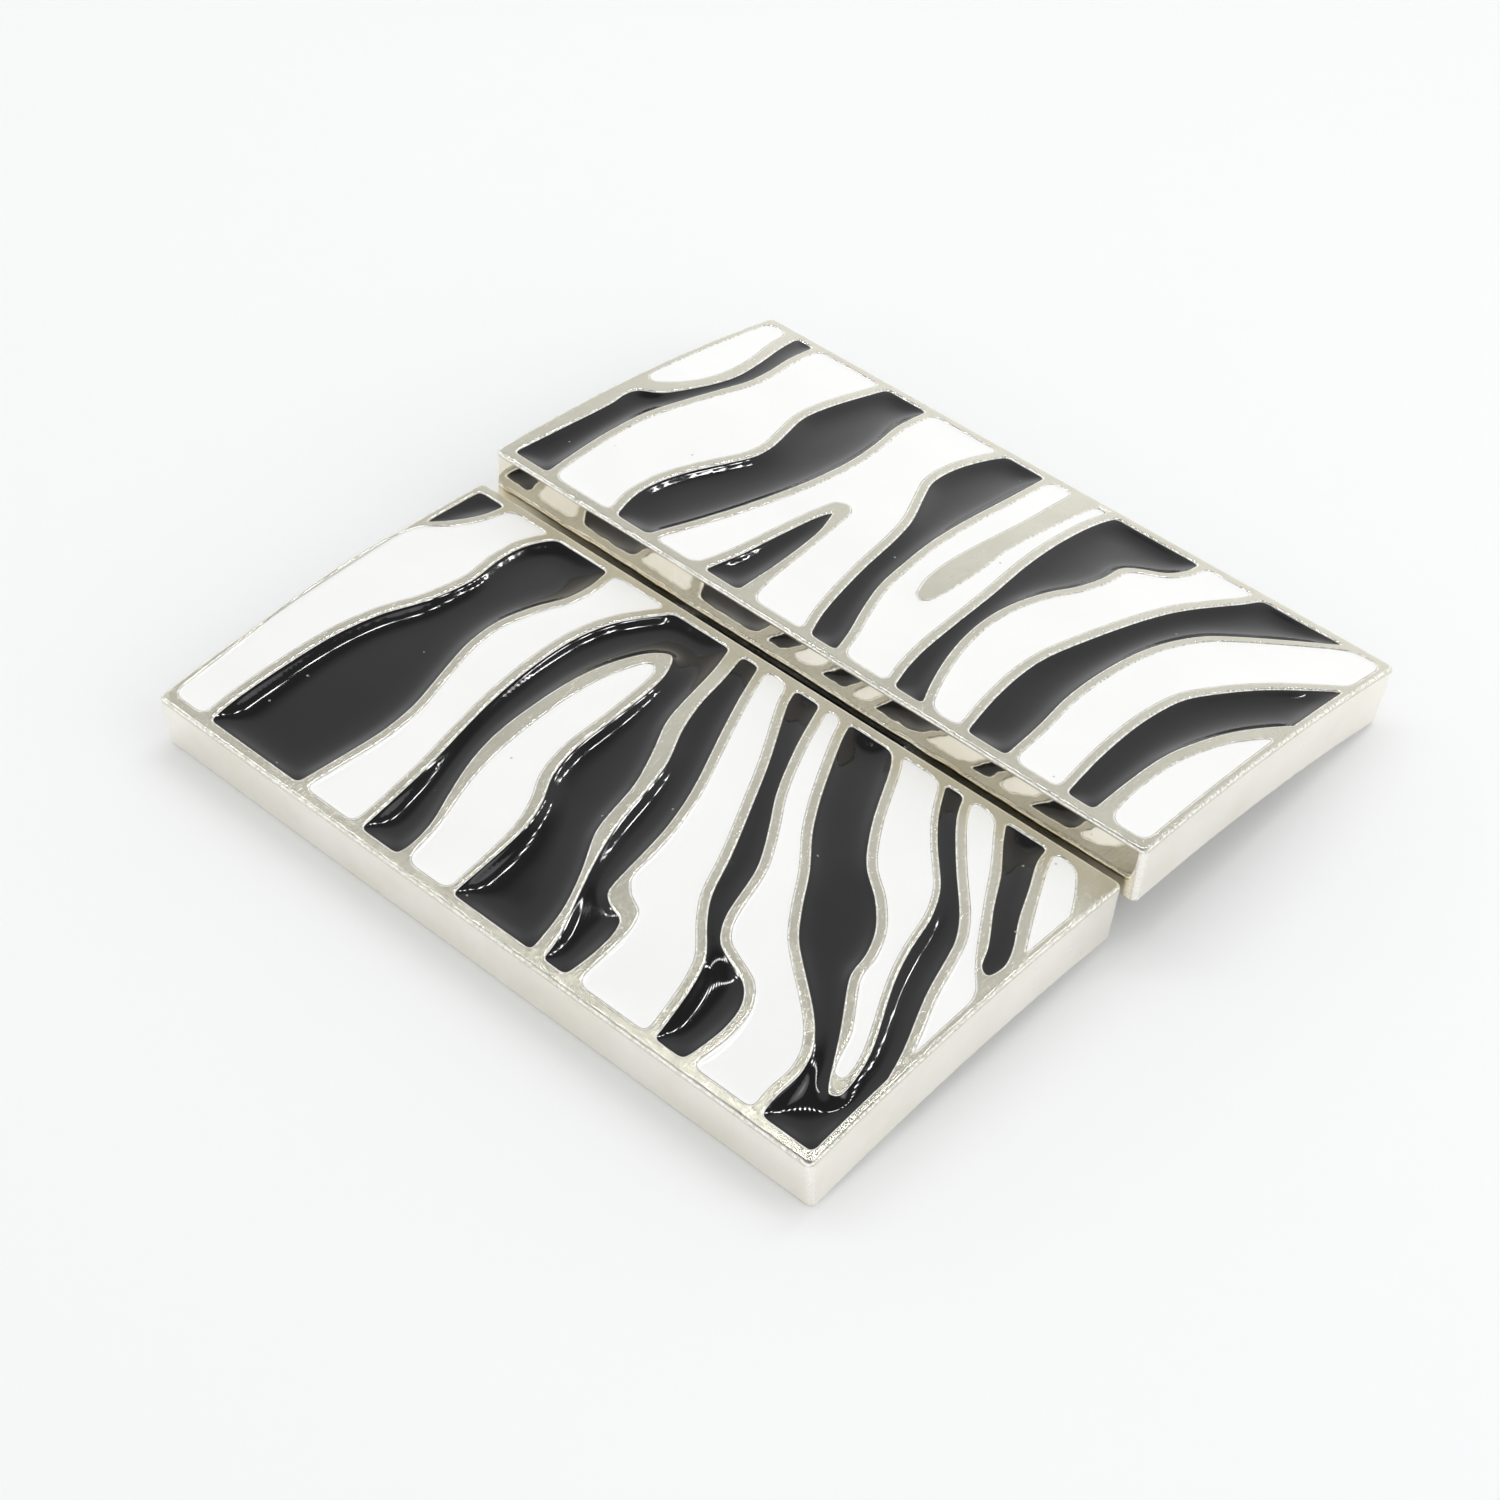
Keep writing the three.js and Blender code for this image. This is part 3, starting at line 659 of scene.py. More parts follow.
def nickel(name, bright, warm, base_roughness, grain, wave):
    """Nickel plate: satin cloudiness, pits, and pale patches on its edges that are partly polished wear
    and partly painted highlight.

    Grain scales its fine relief, and wave is the height of its slow waviness in millimetres."""
    n = Nodes(name)
    cloud = n.noise(0.16, 4.0, 0.55)
    mottle = n.noise(1.7, 3.0, 0.6)
    colour = n.blend(n.ramp(cloud, 0.35, 0.7), bright, warm)
    dull = (*(0.88 * channel for channel in warm[:3]), 1.0)
    colour = n.blend(n.ramp(mottle, 0.5, 0.8, 0.0, 0.1 * grain), colour, dull)
    pits = n.spots(5.0, 0.22, 0.18)
    colour = n.blend(n.math("MULTIPLY", pits, 0.2 * grain), colour, PIT_COLOUR)
    # Convex edges turn pale in patches: real polished wear, plus a painted highlight where the edges
    # catch the lamps
    wear_and_highlight = n.attribute("wear_and_highlight")
    worn_and_highlit = n.math("MULTIPLY", wear_and_highlight, n.ramp(n.noise(5.0, 3.0), 0.36, 0.56))
    colour = n.blend(worn_and_highlit, colour, WORN_NICKEL_AND_HIGHLIGHT)
    rough = n.ramp(n.noise(0.7, 4.0, 0.6), 0.3, 0.75, base_roughness * 0.8, base_roughness * 1.25)
    rough = n.math("SUBTRACT", rough, n.math("MULTIPLY", worn_and_highlit, base_roughness * 0.6), clamp=True)
    scratches = n.noise(3.0, 2.0, 0.5, stretch=(0.25, 2.4, 1.0), distortion=0.4)
    normal = n.bump(n.noise(0.3, 2.0, 0.4), wave)
    normal = n.bump(n.noise(11.0, 3.0, 0.7), 0.003 * grain, before=normal)
    normal = n.bump(n.ramp(scratches, 0.55, 0.62), 0.003 * grain, before=normal)
    normal = n.bump(pits, -0.02 * grain, before=normal)
    return n.finish(colour, rough, normal, Metallic=1.0)


def steel(name):
    """Rolled steel: fine lines along it, faint stains and bright worn edges."""
    n = Nodes(name)
    lines = n.noise(2.0, 4.0, 0.65, stretch=(3.0, 0.08, 3.0))
    colour = n.blend(n.ramp(lines, 0.3, 0.7), STEEL_DARK, STEEL_PALE)
    stain = n.ramp(n.noise(0.25, 4.0, 0.6), 0.56, 0.72, 0.0, 0.5)
    colour = n.blend(stain, colour, STEEL_STAIN)
    wear_and_highlight = n.attribute("wear_and_highlight")
    colour = n.blend(n.math("MULTIPLY", wear_and_highlight, 0.7), colour, WORN_STEEL)
    rough = n.math("ADD", n.ramp(lines, 0.3, 0.7, 0.26, 0.4), n.math("MULTIPLY", stain, 0.2))
    normal = n.bump(lines, 0.006)
    return n.finish(colour, rough, normal, Metallic=1.0)


def enamel(name, deep, pale, dust, dust_share):
    """Glossy enamel: slow waves from firing, dust under the gloss, hairline scratches and pinholes."""
    n = Nodes(name)
    colour = n.blend(n.ramp(n.noise(0.12, 3.0), 0.35, 0.7), deep, pale)
    specks = n.spots(0.55, 0.06, dust_share)
    pinholes = n.spots(1.1, 0.045, dust_share * 0.8)
    colour = n.blend(n.math("MULTIPLY", specks, 0.8), colour, dust)
    hairs = n.noise(0.9, 2.0, 0.5, stretch=(0.3, 3.5, 1.0), distortion=1.2)
    hairs = n.math("MULTIPLY", n.ramp(hairs, 0.66, 0.7), n.ramp(n.noise(0.2, 2.0), 0.5, 0.6))
    rough = n.ramp(n.noise(0.5, 4.0, 0.6), 0.3, 0.8, 0.035, 0.075)
    rough = n.math("ADD", rough, n.math("MULTIPLY", hairs, 0.12))
    rough = n.math("ADD", rough, n.math("MULTIPLY", specks, 0.3), clamp=True)
    normal = n.bump(n.noise(0.45, 2.0, 0.4), 0.008)
    normal = n.bump(pinholes, -0.02, before=normal)
    normal = n.bump(specks, 0.015, before=normal)
    return n.finish(colour, rough, normal, IOR=1.52)


# Walls and everything below the top: the same plating as the lines but made far paler, painted light that
# makes up for the shade the walls stand in
NICKEL = nickel(
    "nickel_satin",
    bright=(0.99, 0.97, 0.91, 1.0),
    warm=(0.93, 0.895, 0.81, 1.0),
    base_roughness=0.34,
    grain=0.6,
    wave=0.004,
)
# Rim and lines: the same plating, darker than the walls' copy; the two copies differ only to even out how
# the light falls on top and on the walls
NICKEL_LINE = nickel(
    "nickel_line",
    bright=(0.70, 0.68, 0.58, 1.0),
    warm=(0.63, 0.61, 0.51, 1.0),
    base_roughness=0.24,
    grain=1.5,
    wave=0.004,
)
NICKEL_MIRROR = nickel(
    "nickel_mirror",
    bright=(0.93, 0.89, 0.79, 1.0),
    warm=(0.84, 0.78, 0.65, 1.0),
    base_roughness=0.06,
    grain=0.03,
    wave=0.13,
)
STEEL = steel("rolled_steel")
BLACK = enamel(
    "black_glass_enamel",
    deep=(0.0045, 0.0045, 0.005, 1.0),
    pale=(0.008, 0.008, 0.0085, 1.0),
    dust=(0.35, 0.34, 0.33, 1.0),
    dust_share=0.28,
)
WHITE = enamel(
    "white_glass_enamel",
    deep=(0.90, 0.90, 0.885, 1.0),
    pale=(0.93, 0.93, 0.915, 1.0),
    dust=(0.42, 0.38, 0.33, 1.0),
    dust_share=0.12,
)

WEAR_AND_HIGHLIGHT_STARTS = 8  # degrees that an edge bends where its wear and painted highlight start to show
WEAR_AND_HIGHLIGHT_FULL = 22


def mark_wear_and_highlight(piece):
    """Marks convex edges, where the finish wears bright and where the nickel also gets a painted
    highlight.
    """
    bm = bmesh.new()
    bm.from_mesh(piece.data)
    wear_and_highlight = np.zeros(len(bm.verts), np.float32)
    for edge in bm.edges:
        if len(edge.link_faces) != 2:
            continue
        angle = math.degrees(edge.calc_face_angle_signed(0.0))
        share = min(max((angle - WEAR_AND_HIGHLIGHT_STARTS) / (WEAR_AND_HIGHLIGHT_FULL - WEAR_AND_HIGHLIGHT_STARTS), 0.0), 1.0)
        for vert in edge.verts:
            wear_and_highlight[vert.index] = max(wear_and_highlight[vert.index], share)
    bm.free()
    attribute = piece.data.attributes.get("wear_and_highlight") or piece.data.attributes.new("wear_and_highlight", "FLOAT", "POINT")
    attribute.data.foreach_set("value", wear_and_highlight)


# ---- The castings --------------------


def swept(radius, degrees):
    """How far across and how far up a round of this radius reaches, at each of these angles."""
    return [(radius * math.cos(math.radians(a)), radius * math.sin(math.radians(a))) for a in degrees]


def pocket(shell, loop):
    """One pocket's rounded mouth, walls and floor; gives the ring where it meets the deck."""
    rings = [shell.ring(moved_in(loop, -LINE_ROUND - LINE_STRIP), 0)]
    for share in (0.0, 0.35, 0.7, 1.0):
        turn = share * math.pi / 2
        out = LINE_ROUND * (1 - math.sin(turn))
        rings.append(shell.ring(moved_in(loop, -out), LINE_ROUND * (1 - math.cos(turn))))
    floor_ring = shell.ring(loop, POCKET_DEPTH)
    for upper, lower in zip(rings, rings[1:] + [floor_ring]):
        shell.strip(upper, lower)
    shell.fill(floor_ring)
    return rings[0]


def wall_profile():
    """(inset, depth) marks over the rim, down the wall, round its foot and up inside to the deck."""
    foot = WALL_HEIGHT - FOOT_ROUND
    rim = [(RIM_ROUND - b, RIM_ROUND - a) for a, b in swept(RIM_ROUND, RIM_DEGREES)]
    outside = [(0, RIM_ROUND + WALL_STRIP), (0, foot - WALL_STRIP)]
    outer_foot = [(FOOT_ROUND - a, foot + b) for a, b in swept(FOOT_ROUND, ARC_DEGREES)]
    under = [(FOOT_ROUND + FOOT_STRIP, WALL_HEIGHT), (WALL - FOOT_ROUND - FOOT_STRIP, WALL_HEIGHT)]
    inner_foot = [(WALL - a, foot + b) for a, b in swept(FOOT_ROUND, ARC_DEGREES[::-1])]
    inside = [(WALL, foot - WALL_STRIP), (WALL, DECK + UNDER_FILLET + FOOT_STRIP)]
    ceiling = [(WALL + UNDER_FILLET - a, DECK + UNDER_FILLET - b)
               for a, b in swept(UNDER_FILLET, ARC_DEGREES)]
    return rim + outside + outer_foot + under + inner_foot + inside + ceiling


def ceiling_grid():
    """Plan points that carry the arch across the hollow's ceiling."""
    reach = WALL + UNDER_FILLET + CEILING_MARGIN
    ys = np.arange(-WIDTH / 2 + reach, WIDTH / 2 - reach + 0.1, CEILING_STEP_Y)
    ss = np.arange(reach, ARC_LENGTH - reach + 0.1, CEILING_STEP_S)
    return np.array([(y, s) for y in ys for s in ss])


def casting(half, loops):
    """The arched plate as one closed shell: rim, metal lines, pockets, walls and hollow underside."""
    shell = Shell()
    last = shell.ring(rim_loop(RIM_ROUND + RIM_STRIP, CORNER_ROUND), 0)
    shell.fill(last, [pocket(shell, loop) for loop in loops])
    for inset, depth in wall_profile():
        outside = inset < WALL / 2
        radius = max(CORNER_ROUND - 0.5 * inset, SHARPEST_CORNER) if outside else INNER_CORNER
        ring = shell.ring(rim_loop(inset, radius), depth)
        shell.strip(last, ring)
        last = ring
    shell.fill(last, extra=shell.ring(ceiling_grid(), DECK))
    return finished_object(f"{half.name}_casting", half.bent(shell.plan), shell.faces, None, [])


def box_between(x0, x1, y0, y1, z0, z1, edge=0.12):
    """A box with eased edges between two places along each axis, in a half's own frame."""
    return bar((x0 + x1) / 2, (z0 + z1) / 2, (x1 - x0) / 2, (z1 - z0) / 2, y0, y1, edge)


def bar_lugs():
    """The two lugs that the belt bar's ends sit in."""
    x, z, width, thickness = (BELT_BAR[k] for k in ("x", "z", "width", "thickness"))
    face = WIDTH / 2 - WALL
    half_lug = width / 2 + BAR_LUG["beside"]
    foot = z - thickness / 2 - BAR_LUG["below"]
    lugs = []
    for side in (-1, 1):
        y0, y1 = sorted((side * (face - BAR_LUG["depth"]), side * (face + ROOT)))
        lugs.append(box_between(x - half_lug, x + half_lug, y0, y1, foot, -DECK / 2))
    return lugs


def bar_seat():
    """The room for the belt bar's ends."""
    reach = WIDTH / 2 - WALL
    half_width = BELT_BAR["width"] / 2 + CLEARANCE
    half_height = BELT_BAR["tenon"] / 2 + CLEARANCE
    return bar(BELT_BAR["x"], BELT_BAR["z"], half_width, half_height, -reach, reach, 0.1)


def tongue_notch(half_width, top):
    """The room that the tongue needs through a joint wall, open below."""
    below = -WALL_HEIGHT - OUTSIDE
    return box_between(-OUTSIDE, WALL + PAST_WALL, -half_width, half_width, below, top, 0.2)


def finished_casting(half, piece):
    """Gives a casting its materials by where its faces lie, and puts it in place of its CAD node."""
    tidy(piece.data)
    materials = (NICKEL, NICKEL_LINE, NICKEL_MIRROR)
    for material in materials:
        piece.data.materials.append(material)
    centres = half.plan_of([p.center for p in piece.data.polygons])
    for polygon, (_, s, depth) in zip(piece.data.polygons, centres):
        on_joint_wall = s < JOINT_WALL_TOLERANCE + depth * HALF_ANGLE
        # Tops take the darker nickel and walls the paler one: lit and shaded copies of one plating,
        # painted light
        if depth < LINE_METAL_DEPTH:
            polygon.material_index = materials.index(NICKEL_LINE)
        elif half is CATCH and on_joint_wall:
            polygon.material_index = materials.index(NICKEL_MIRROR)
    piece.data.set_sharp_from_angle(angle=math.radians(CASTING_SHARP))
    mark_wear_and_highlight(piece)
    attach(piece, half.body)
    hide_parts(f"{half.name}_frame")


def hook_casting(loops):
    """The hook half's casting, with two rivet bosses and an opening for the tongue."""
    piece = casting(HOOK, loops)
    foot = TONGUE["top"] + CLEARANCE
    radius, top = BOSS["radius"], BOSS["top"]
    hole = RIVET["shank"] + RIVET_ROOM
    boss = [(radius - SMALL_EASE, foot), (radius, foot + SMALL_EASE), (radius, top)]
    drill = [(hole, foot - OUTSIDE), (hole, top - RIVET_ROOM)]
    bosses = [turned(boss, place, "z") for place in RIVET_PLACES]
    drills = [turned(drill, place, "z") for place in RIVET_PLACES]
    carved(piece, raw_object(bar_lugs() + bosses, HOOK), "UNION")
    notch = tongue_notch(TONGUE["width"] / 2 + CLEARANCE, foot)
    carved(piece, raw_object([bar_seat(), notch] + drills, HOOK), "DIFFERENCE")
    finished_casting(HOOK, piece)


def pin_place():
    """The catch pin's place in the catch half's own frame."""
    x, z = PIN["x"], PIN["z"] - CATCH.height
    c, s = math.cos(CATCH.tilt), math.sin(CATCH.tilt)
    return x * c - z * s, x * s + z * c


def catch_casting(loops):
    """The catch half's casting, with two pin lugs and a notch over the tongue."""
    piece = casting(CATCH, loops)
    x, z = pin_place()
    thickness, inset = PIN_LUG["thickness"], PIN_LUG["inset"]
    bore = PIN["radius"] + CLEARANCE
    bore_end = PIN["length"] / 2 + 0.5
    lugs, bores = [], []
    for side in (-1, 1):
        outer = side * (PIN["length"] / 2 - inset)
        y0, y1 = sorted((outer, outer - side * thickness))
        lugs.append(box_between(PIN_LUG["start"], x + PIN_LUG["beside"], y0, y1,
                                z - PIN_LUG["below"], PIN_LUG["top"]))
        y0, y1 = sorted((side * bore_end, side * (bore_end - thickness - inset - OUTSIDE)))
        bores.append(turned([(bore, y0), (bore, y1)], (x, 0, z), "y"))
    carved(piece, raw_object(bar_lugs() + lugs, CATCH), "UNION")
    notch = tongue_notch(TONGUE["width"] / 2 + 2 * SHIFT + 2 * CLEARANCE, NOTCH_HEIGHT - WALL_HEIGHT)
    carved(piece, raw_object([bar_seat(), notch] + bores, CATCH), "DIFFERENCE")
    finished_casting(CATCH, piece)


# ---- Enamel --------------------

MENISCUS = {  # level below the metal lines, rise in the broad curve, rise close to the metal
    "black": {"level": 0.62, "broad": 0.50, "close": 0.05},
    "white": {"level": 0.17, "broad": 0.07, "close": 0.06},
}
BROAD_REACH = ((0.2, 0.2), (0.35, 0.45), (0.45, 0.95))  # each share of the broad rise and its reach
CLOSE_REACH = 0.12
GRID = 0.25
GRID_MARGIN = 0.33
EDGE_ROWS = (0.06, 0.14, 0.24)  # how far inside the edge the rows of points that follow it lie
ROW_SHARE = 0.93  # a row's point is dropped where another edge is nearer than this share of that
FILL_OVERLAP = 0.012  # how far an enamel reaches into the metal, so that no gap shows
FLOOR_GAP = 0.01


def enamel_depth(points, edge, colour):
    """How deep the enamel's surface lies: low in the middle, drawn up to the metal round its edge."""
    facts = MENISCUS[colour]
    after = np.roll(edge, -1, 0)
    middles, lengths = (edge + after) / 2, np.hypot(*(after - edge).T)
    squared = ((points[:, None, :] - middles[None, :, :]) ** 2).sum(2)
    pull = np.zeros(len(points))
    for share, reach in BROAD_REACH:
        weight = share / (reach * math.sqrt(2 * math.pi))
        pull += weight * (np.exp(-squared / (2 * reach * reach)) * lengths).sum(1)
    pull = pull / (1 + pull**6) ** (1 / 6)  # never above 1, even in a narrow corner
    close = facts["close"] * np.exp(-distance_to(points, edge) / CLOSE_REACH)
    return facts["level"] - facts["broad"] * pull - close


def hex_grid(loop, spacing):
    """A triangular grid over an outline's box."""
    (y0, s0), (y1, s1) = loop.min(0), loop.max(0)
    rows = np.arange(s0, s1, spacing * math.sqrt(0.75))
    points = []
    for k, s in enumerate(rows):
        ys = np.arange(y0 + (k % 2) * spacing / 2, y1, spacing)
        points.append(np.column_stack((ys, np.full(len(ys), s))))
    return np.concatenate(points)


def fill_of_pocket(half, node, edge, colour):
    """One enamel: its curved top, its sides against the pocket's walls and its foot."""
    shell = Shell()
    outline = moved_in(edge, -FILL_OVERLAP)
    rows = []
    for inset in EDGE_ROWS:
        row = moved_in(edge, inset)
        fits = is_inside(row, edge) & (distance_to(row, edge) > ROW_SHARE * inset)
        rows.append(row[fits])
    grid = hex_grid(edge, GRID)
    grid = grid[is_inside(grid, edge)]
    rows.append(grid[distance_to(grid, edge) > GRID_MARGIN])
    points = np.concatenate(rows)
    rim = shell.ring(outline, enamel_depth(edge, edge, colour))
    inside = shell.ring(points, enamel_depth(points, edge, colour))
    shell.fill(rim, extra=inside)
    foot = shell.ring(outline, POCKET_DEPTH - FLOOR_GAP)
    shell.strip(rim, foot)
    shell.fill(foot)
    material = BLACK if colour == "black" else WHITE
    placed = half.bent(shell.plan)
    piece = finished_object(f"{node}_fill", placed, shell.faces, half.body, [material], SMALL_SHARP)
    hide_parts(node)


def pockets_of(half):
    """Each CAD enamel's node name, its colour, and the smoothed edge of its pocket."""
    loops = deck_loops(half)
    middles = np.array([(loop.min(0) + loop.max(0)) / 2 for loop in loops])
    found = []
    for node in sorted(frame["nodes"]):
        if not node.startswith(f"{half.name}_enamel"):
            continue
        plan = half.plan_of([v.co for v in frame["nodes"][node].data.vertices])[:, :2]
        middle = (plan.min(0) + plan.max(0)) / 2
        loop = loops[int(np.argmin(np.hypot(*(middles - middle).T)))]
        colour = "black" if "black" in node else "white"
        found.append((node, colour, smoothed(loop, POCKET_CORNER[colour])))
    return found


# ---- Tongue, rivets, pin and bars --------------------


def steel_piece(name, solid, half, body, node):
    """A steel piece from a solid of a half's own frame, in place of its CAD node."""
    points, faces = solid
    piece = finished_object(name, half.placed(points), faces, body, [STEEL], SMALL_SHARP)
    mark_wear_and_highlight(piece)
    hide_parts(node)
    return piece


def arc(cx, cz, radius, start, end, steps=5):
    """Points of an arc in side view, between two angles in degrees."""
    turn = [math.radians(start + (end - start) * k / steps) for k in range(steps + 1)]
    return [(cx + radius * math.cos(t), cz + radius * math.sin(t)) for t in turn]


def tongue_outline():
    """The tongue in side view, counter-clockwise: under its strip, back along its top, and up the lip."""
    top, thickness, tip, inside = (TONGUE[k] for k in ("top", "thickness", "tip", "inside"))
    under, lip = top - thickness, top + TONGUE["lip"]
    bend, hollow, ease, lip_round = 0.9, 0.3, 0.2, 0.35
    return np.array(
        arc(tip + bend, under + bend, bend, 180, 270)
        + arc(inside - ease, under + ease, ease, -90, 0, 3)
        + arc(inside - ease, top - ease, ease, 0, 90, 3)
        + arc(tip + thickness + hollow, top + hollow, hollow, 270, 180, 4)
        + arc(tip + thickness - lip_round, lip - lip_round, lip_round, 0, 90, 4)
        + arc(tip + lip_round, lip - lip_round, lip_round, 90, 180, 4)
    )


def tongue():
    """The hook: a strip that leaves the half under its deck and turns up in a lip, with eased edges."""
    outline = tongue_outline()
    shrunk = moved_in(outline, SMALL_EASE)
    half_width = TONGUE["width"] / 2
    # Places across the strip, and how far the outline has shrunk there
    right = ((half_width - SMALL_EASE, 0), (half_width - 0.05, 0.3), (half_width, 1))
    marks = [(-y, share) for y, share in reversed(right)] + list(right)
    sections = [[(x, y, z) for x, z in outline + (shrunk - outline) * share] for y, share in marks]
    piece = steel_piece("hook_tongue_strip", loft(sections), HOOK, "hook_half", "hook_tongue")
    hole = RIVET["shank"] + RIVET_ROOM
    drill = [(hole, TONGUE["top"] - TONGUE["thickness"] - OUTSIDE), (hole, TONGUE["top"] + OUTSIDE)]
    drills = [turned(drill, place, "z") for place in RIVET_PLACES]
    carved(piece, raw_object(drills, HOOK), "DIFFERENCE")
    tidy(piece.data)
    piece.data.set_sharp_from_angle(angle=math.radians(SMALL_SHARP))
    mark_wear_and_highlight(piece)


def rivets():
    """Two rivets with low domed heads."""
    seat = TONGUE["top"] - TONGUE["thickness"] - RIVET_ROOM
    head, height, shank, dome_height = RIVET["head"], RIVET["head_height"], RIVET["shank"], 0.35
    dome_radius = 0.98 * head
    profile = []
    for degrees in (8, 25, 42, 58, 72, 84):
        a = math.radians(degrees)
        profile.append((dome_radius * math.sin(a), seat - height + dome_height * (1 - math.cos(a))))
    profile += [(head, seat - 0.12), (head - 0.1, seat), (shank + 0.02, seat), (shank, seat + 0.05)]
    profile += [(shank, BOSS["top"] - 0.4), (shank - 0.15, BOSS["top"] - 0.3)]
    for number, place in zip((1, 2), reversed(RIVET_PLACES)):
        node = f"tongue_rivet_{number}"
        steel_piece(f"{node}_head", turned(profile, place, "z"), HOOK, "hook_half", node)


def catch_pin():
    """The round pin, its ends chamfered and domed a little."""
    x, z = pin_place()
    r, end = PIN["radius"], PIN["length"] / 2
    right = [(r, end - 0.6), (r, end - 0.3), (r - 0.06, end - 0.14), (r - 0.2, end - 0.04), (0.35, end)]
    profile = [(a, -b) for a, b in reversed(right)] + right
    steel_piece("catch_pin_rod", turned(profile, (x, 0, z), "y"), CATCH, "pin", "catch_pin")


def belt_bar(half):
    """The flat bar that the belt's folded end goes round, with thinner ends in the lugs."""
    x, z = BELT_BAR["x"], BELT_BAR["z"]
    half_width, half_middle, half_end = (BELT_BAR[k] / 2 for k in ("width", "thickness", "tenon"))
    reach = WIDTH / 2 - WALL - CLEARANCE
    shoulder = reach - BAR_LUG["depth"]
    right = (  # place along the bar, inset of its sides, half its height
        (shoulder - 0.25, 0, half_middle),
        (shoulder - 0.08, 0.08, half_middle - 0.08),
        (shoulder, 0.1, half_end),
        (shoulder + 0.1, 0.1, half_end),
        (reach - 0.2, 0.1, half_end),
        (reach - 0.05, 0.18, half_end - 0.08),
        (reach, 0.3, half_end - 0.2),
    )
    sections = []
    for side in (-1, 1):
        for y, inset, tall in (right if side > 0 else reversed(right)):
            outline = rounded_rectangle(half_width - inset, tall, max(0.3 - inset, 0.08))
            sections.append([(x + a, side * y, z + b) for a, b in outline])
    steel_piece(f"{half.name}_bar", loft(sections), half, half.body, f"{half.name}_belt_bar")


for half, make_casting in ((HOOK, hook_casting), (CATCH, catch_casting)):
    pockets = pockets_of(half)
    make_casting([edge for _, _, edge in pockets])
    for node, colour, edge in pockets:
        fill_of_pocket(half, node, edge, colour)
    belt_bar(half)
tongue()
rivets()
catch_pin()


# ---- Studio --------------------

FLOOR_REACH = 3.0
FLOOR_ROUGHNESS = 0.85
FLOOR_COLOURS = ((0.90, 0.91, 0.91, 1.0), (0.92, 0.925, 0.925, 1.0))
# The tent's brightness from the horizon, and everything below it, up to straight overhead
TENT = ((0.0, 1.25), (0.3, 1.08), (0.55, 0.8), (0.78, 0.66), (0.86, 0.2), (1.0, 0.25))
SMALL_LAMP = 0.014
SMALL_LAMP_WATTS = 0.025
PANEL_LAYERS = 4
CAMERA_ANGLES = (-51.04, 43.9, 3.66)  # azimuth, elevation and roll in degrees
CAMERA_TARGET = (-3.35, 0.37, 0.0)
CAMERA_DISTANCE = 219.36
CAMERA_SENSOR = 36.0
CAMERA_LENS = 73.72


def floor():
    """A pale matt floor that runs out of view on every side."""
    corners = [(x * FLOOR_REACH, y * FLOOR_REACH, 0) for x, y in ((-1, -1), (1, -1), (1, 1), (-1, 1))]
    mesh = bpy.data.meshes.new("floor")
    mesh.from_pydata(corners, [], [(0, 1, 2, 3)])
    piece = bpy.data.objects.new("floor", mesh)
    bpy.context.scene.collection.objects.link(piece)
    n = Nodes("pale_floor")
    n.finish(n.blend(n.noise(0.01, 2.0), *FLOOR_COLOURS), FLOOR_ROUGHNESS, None)
    mesh.materials.append(n.material)


def lamp(name, place, size, watts, mirrored=True):
    """A square lamp that faces the clasp; one that isn't mirrored doesn't show in the gloss."""
    light = bpy.data.lights.new(name, "AREA")
    light.size = size
    light.energy = watts
    lamp_object = bpy.data.objects.new(name, light)
    lamp_object.visible_glossy = mirrored
    lamp_object.location = place
    to_clasp = Vector((0, 0, 0)) - Vector(place)
    lamp_object.rotation_euler = to_clasp.to_track_quat("-Z", "Y").to_euler()
    bpy.context.scene.collection.objects.link(lamp_object)


def world():
    """A tent that is bright low down, greyer higher up and dim overhead."""
    made = bpy.data.worlds.new("tent")
    made.use_nodes = True
    bpy.context.scene.world = made
    tree = made.node_tree
    coordinates = tree.nodes.new("ShaderNodeTexCoord")
    split = tree.nodes.new("ShaderNodeSeparateXYZ")
    ramp = tree.nodes.new("ShaderNodeValToRGB")
    tree.links.new(coordinates.outputs["Generated"], split.inputs[0])
    tree.links.new(split.outputs["Z"], ramp.inputs["Fac"])
    elements = ramp.color_ramp.elements
    while len(elements) < len(TENT):
        elements.new(0.5)
    for element, (place, value) in zip(elements, TENT):
        element.position = place
        element.color = (value, value * 1.005, value * 1.01, 1.0)
    tree.links.new(ramp.outputs["Color"], tree.nodes["Background"].inputs["Color"])
    tree.nodes["Background"].inputs["Strength"].default_value = 1.0


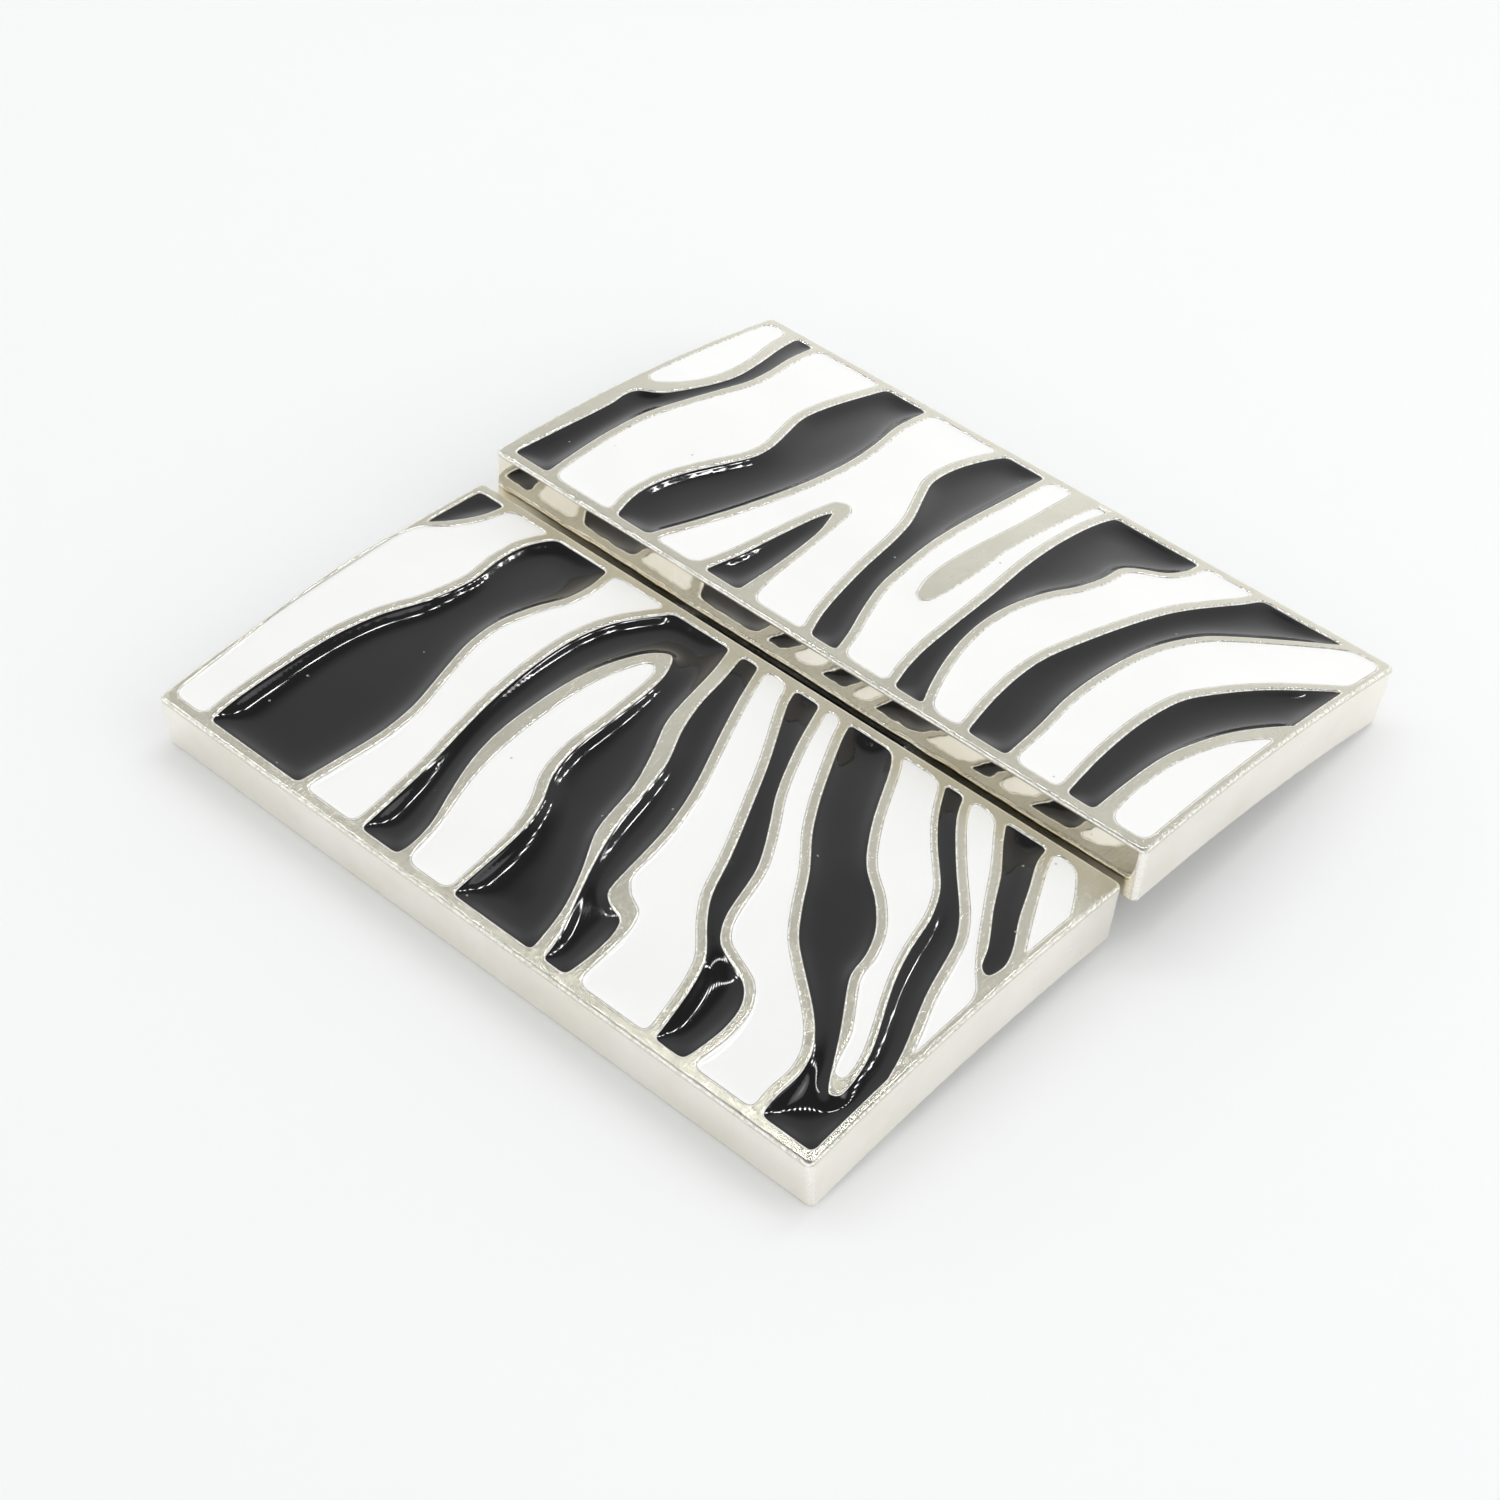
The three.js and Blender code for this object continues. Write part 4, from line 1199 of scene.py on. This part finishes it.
def camera():
    """The camera where the photograph was taken from: place from its angles, then a small roll."""
    azimuth, elevation, roll = (math.radians(angle) for angle in CAMERA_ANGLES)
    target = Vector(CAMERA_TARGET) * MM
    distance = CAMERA_DISTANCE * MM
    back = Vector((math.sin(azimuth) * math.cos(elevation), -math.cos(azimuth) * math.cos(elevation),
                   math.sin(elevation)))
    right = Vector((0, 0, 1)).cross(back).normalized()
    up = back.cross(right)
    rolled_right = math.cos(roll) * right + math.sin(roll) * up
    rolled_up = math.cos(roll) * up - math.sin(roll) * right
    data = bpy.data.cameras.new("camera")
    data.sensor_width = CAMERA_SENSOR
    data.lens = CAMERA_LENS
    data.clip_start = 0.01
    made = bpy.data.objects.new("camera", data)
    made.matrix_world = Matrix((
        (rolled_right.x, rolled_up.x, back.x, target.x + distance * back.x),
        (rolled_right.y, rolled_up.y, back.y, target.y + distance * back.y),
        (rolled_right.z, rolled_up.z, back.z, target.z + distance * back.z),
        (0, 0, 0, 1),
    ))
    bpy.context.scene.collection.objects.link(made)
    bpy.context.scene.camera = made


def row_of_lamps(name, first, step, count):
    """A straight row of small bright lamps hanging above the clasp."""
    for k in range(count):
        place = Vector(first) + k * Vector(step)
        lamp(f"{name}_{k}", place, SMALL_LAMP, SMALL_LAMP_WATTS)


def soft_panel(name, place, size, watts):
    """A dim panel that fades toward its edges: panels of growing size in one place."""
    shares = range(1, PANEL_LAYERS + 1)
    for k in shares:
        lamp(f"{name}_{k - 1}", place, size * k / PANEL_LAYERS, watts * k / sum(shares))


floor()
world()
lamp("soft_ceiling", place=(0.0, 0.0, 0.7), size=0.9, watts=0.98, mirrored=False)
lamp("soft_side", place=(0.12, -0.5, 0.45), size=0.5, watts=0.8, mirrored=False)
row_of_lamps("row_across", first=(-0.09, 0.366, 0.45), step=(0.0252, -0.0312, 0.0), count=12)
row_of_lamps("row_beside", first=(0.215, -0.01, 0.45), step=(0.036, 0.003, 0.0), count=5)
soft_panel("panel_above", place=(0.075, -0.06, 0.45), size=0.12, watts=0.14)
camera()
bpy.context.scene.view_settings.view_transform = "Standard"
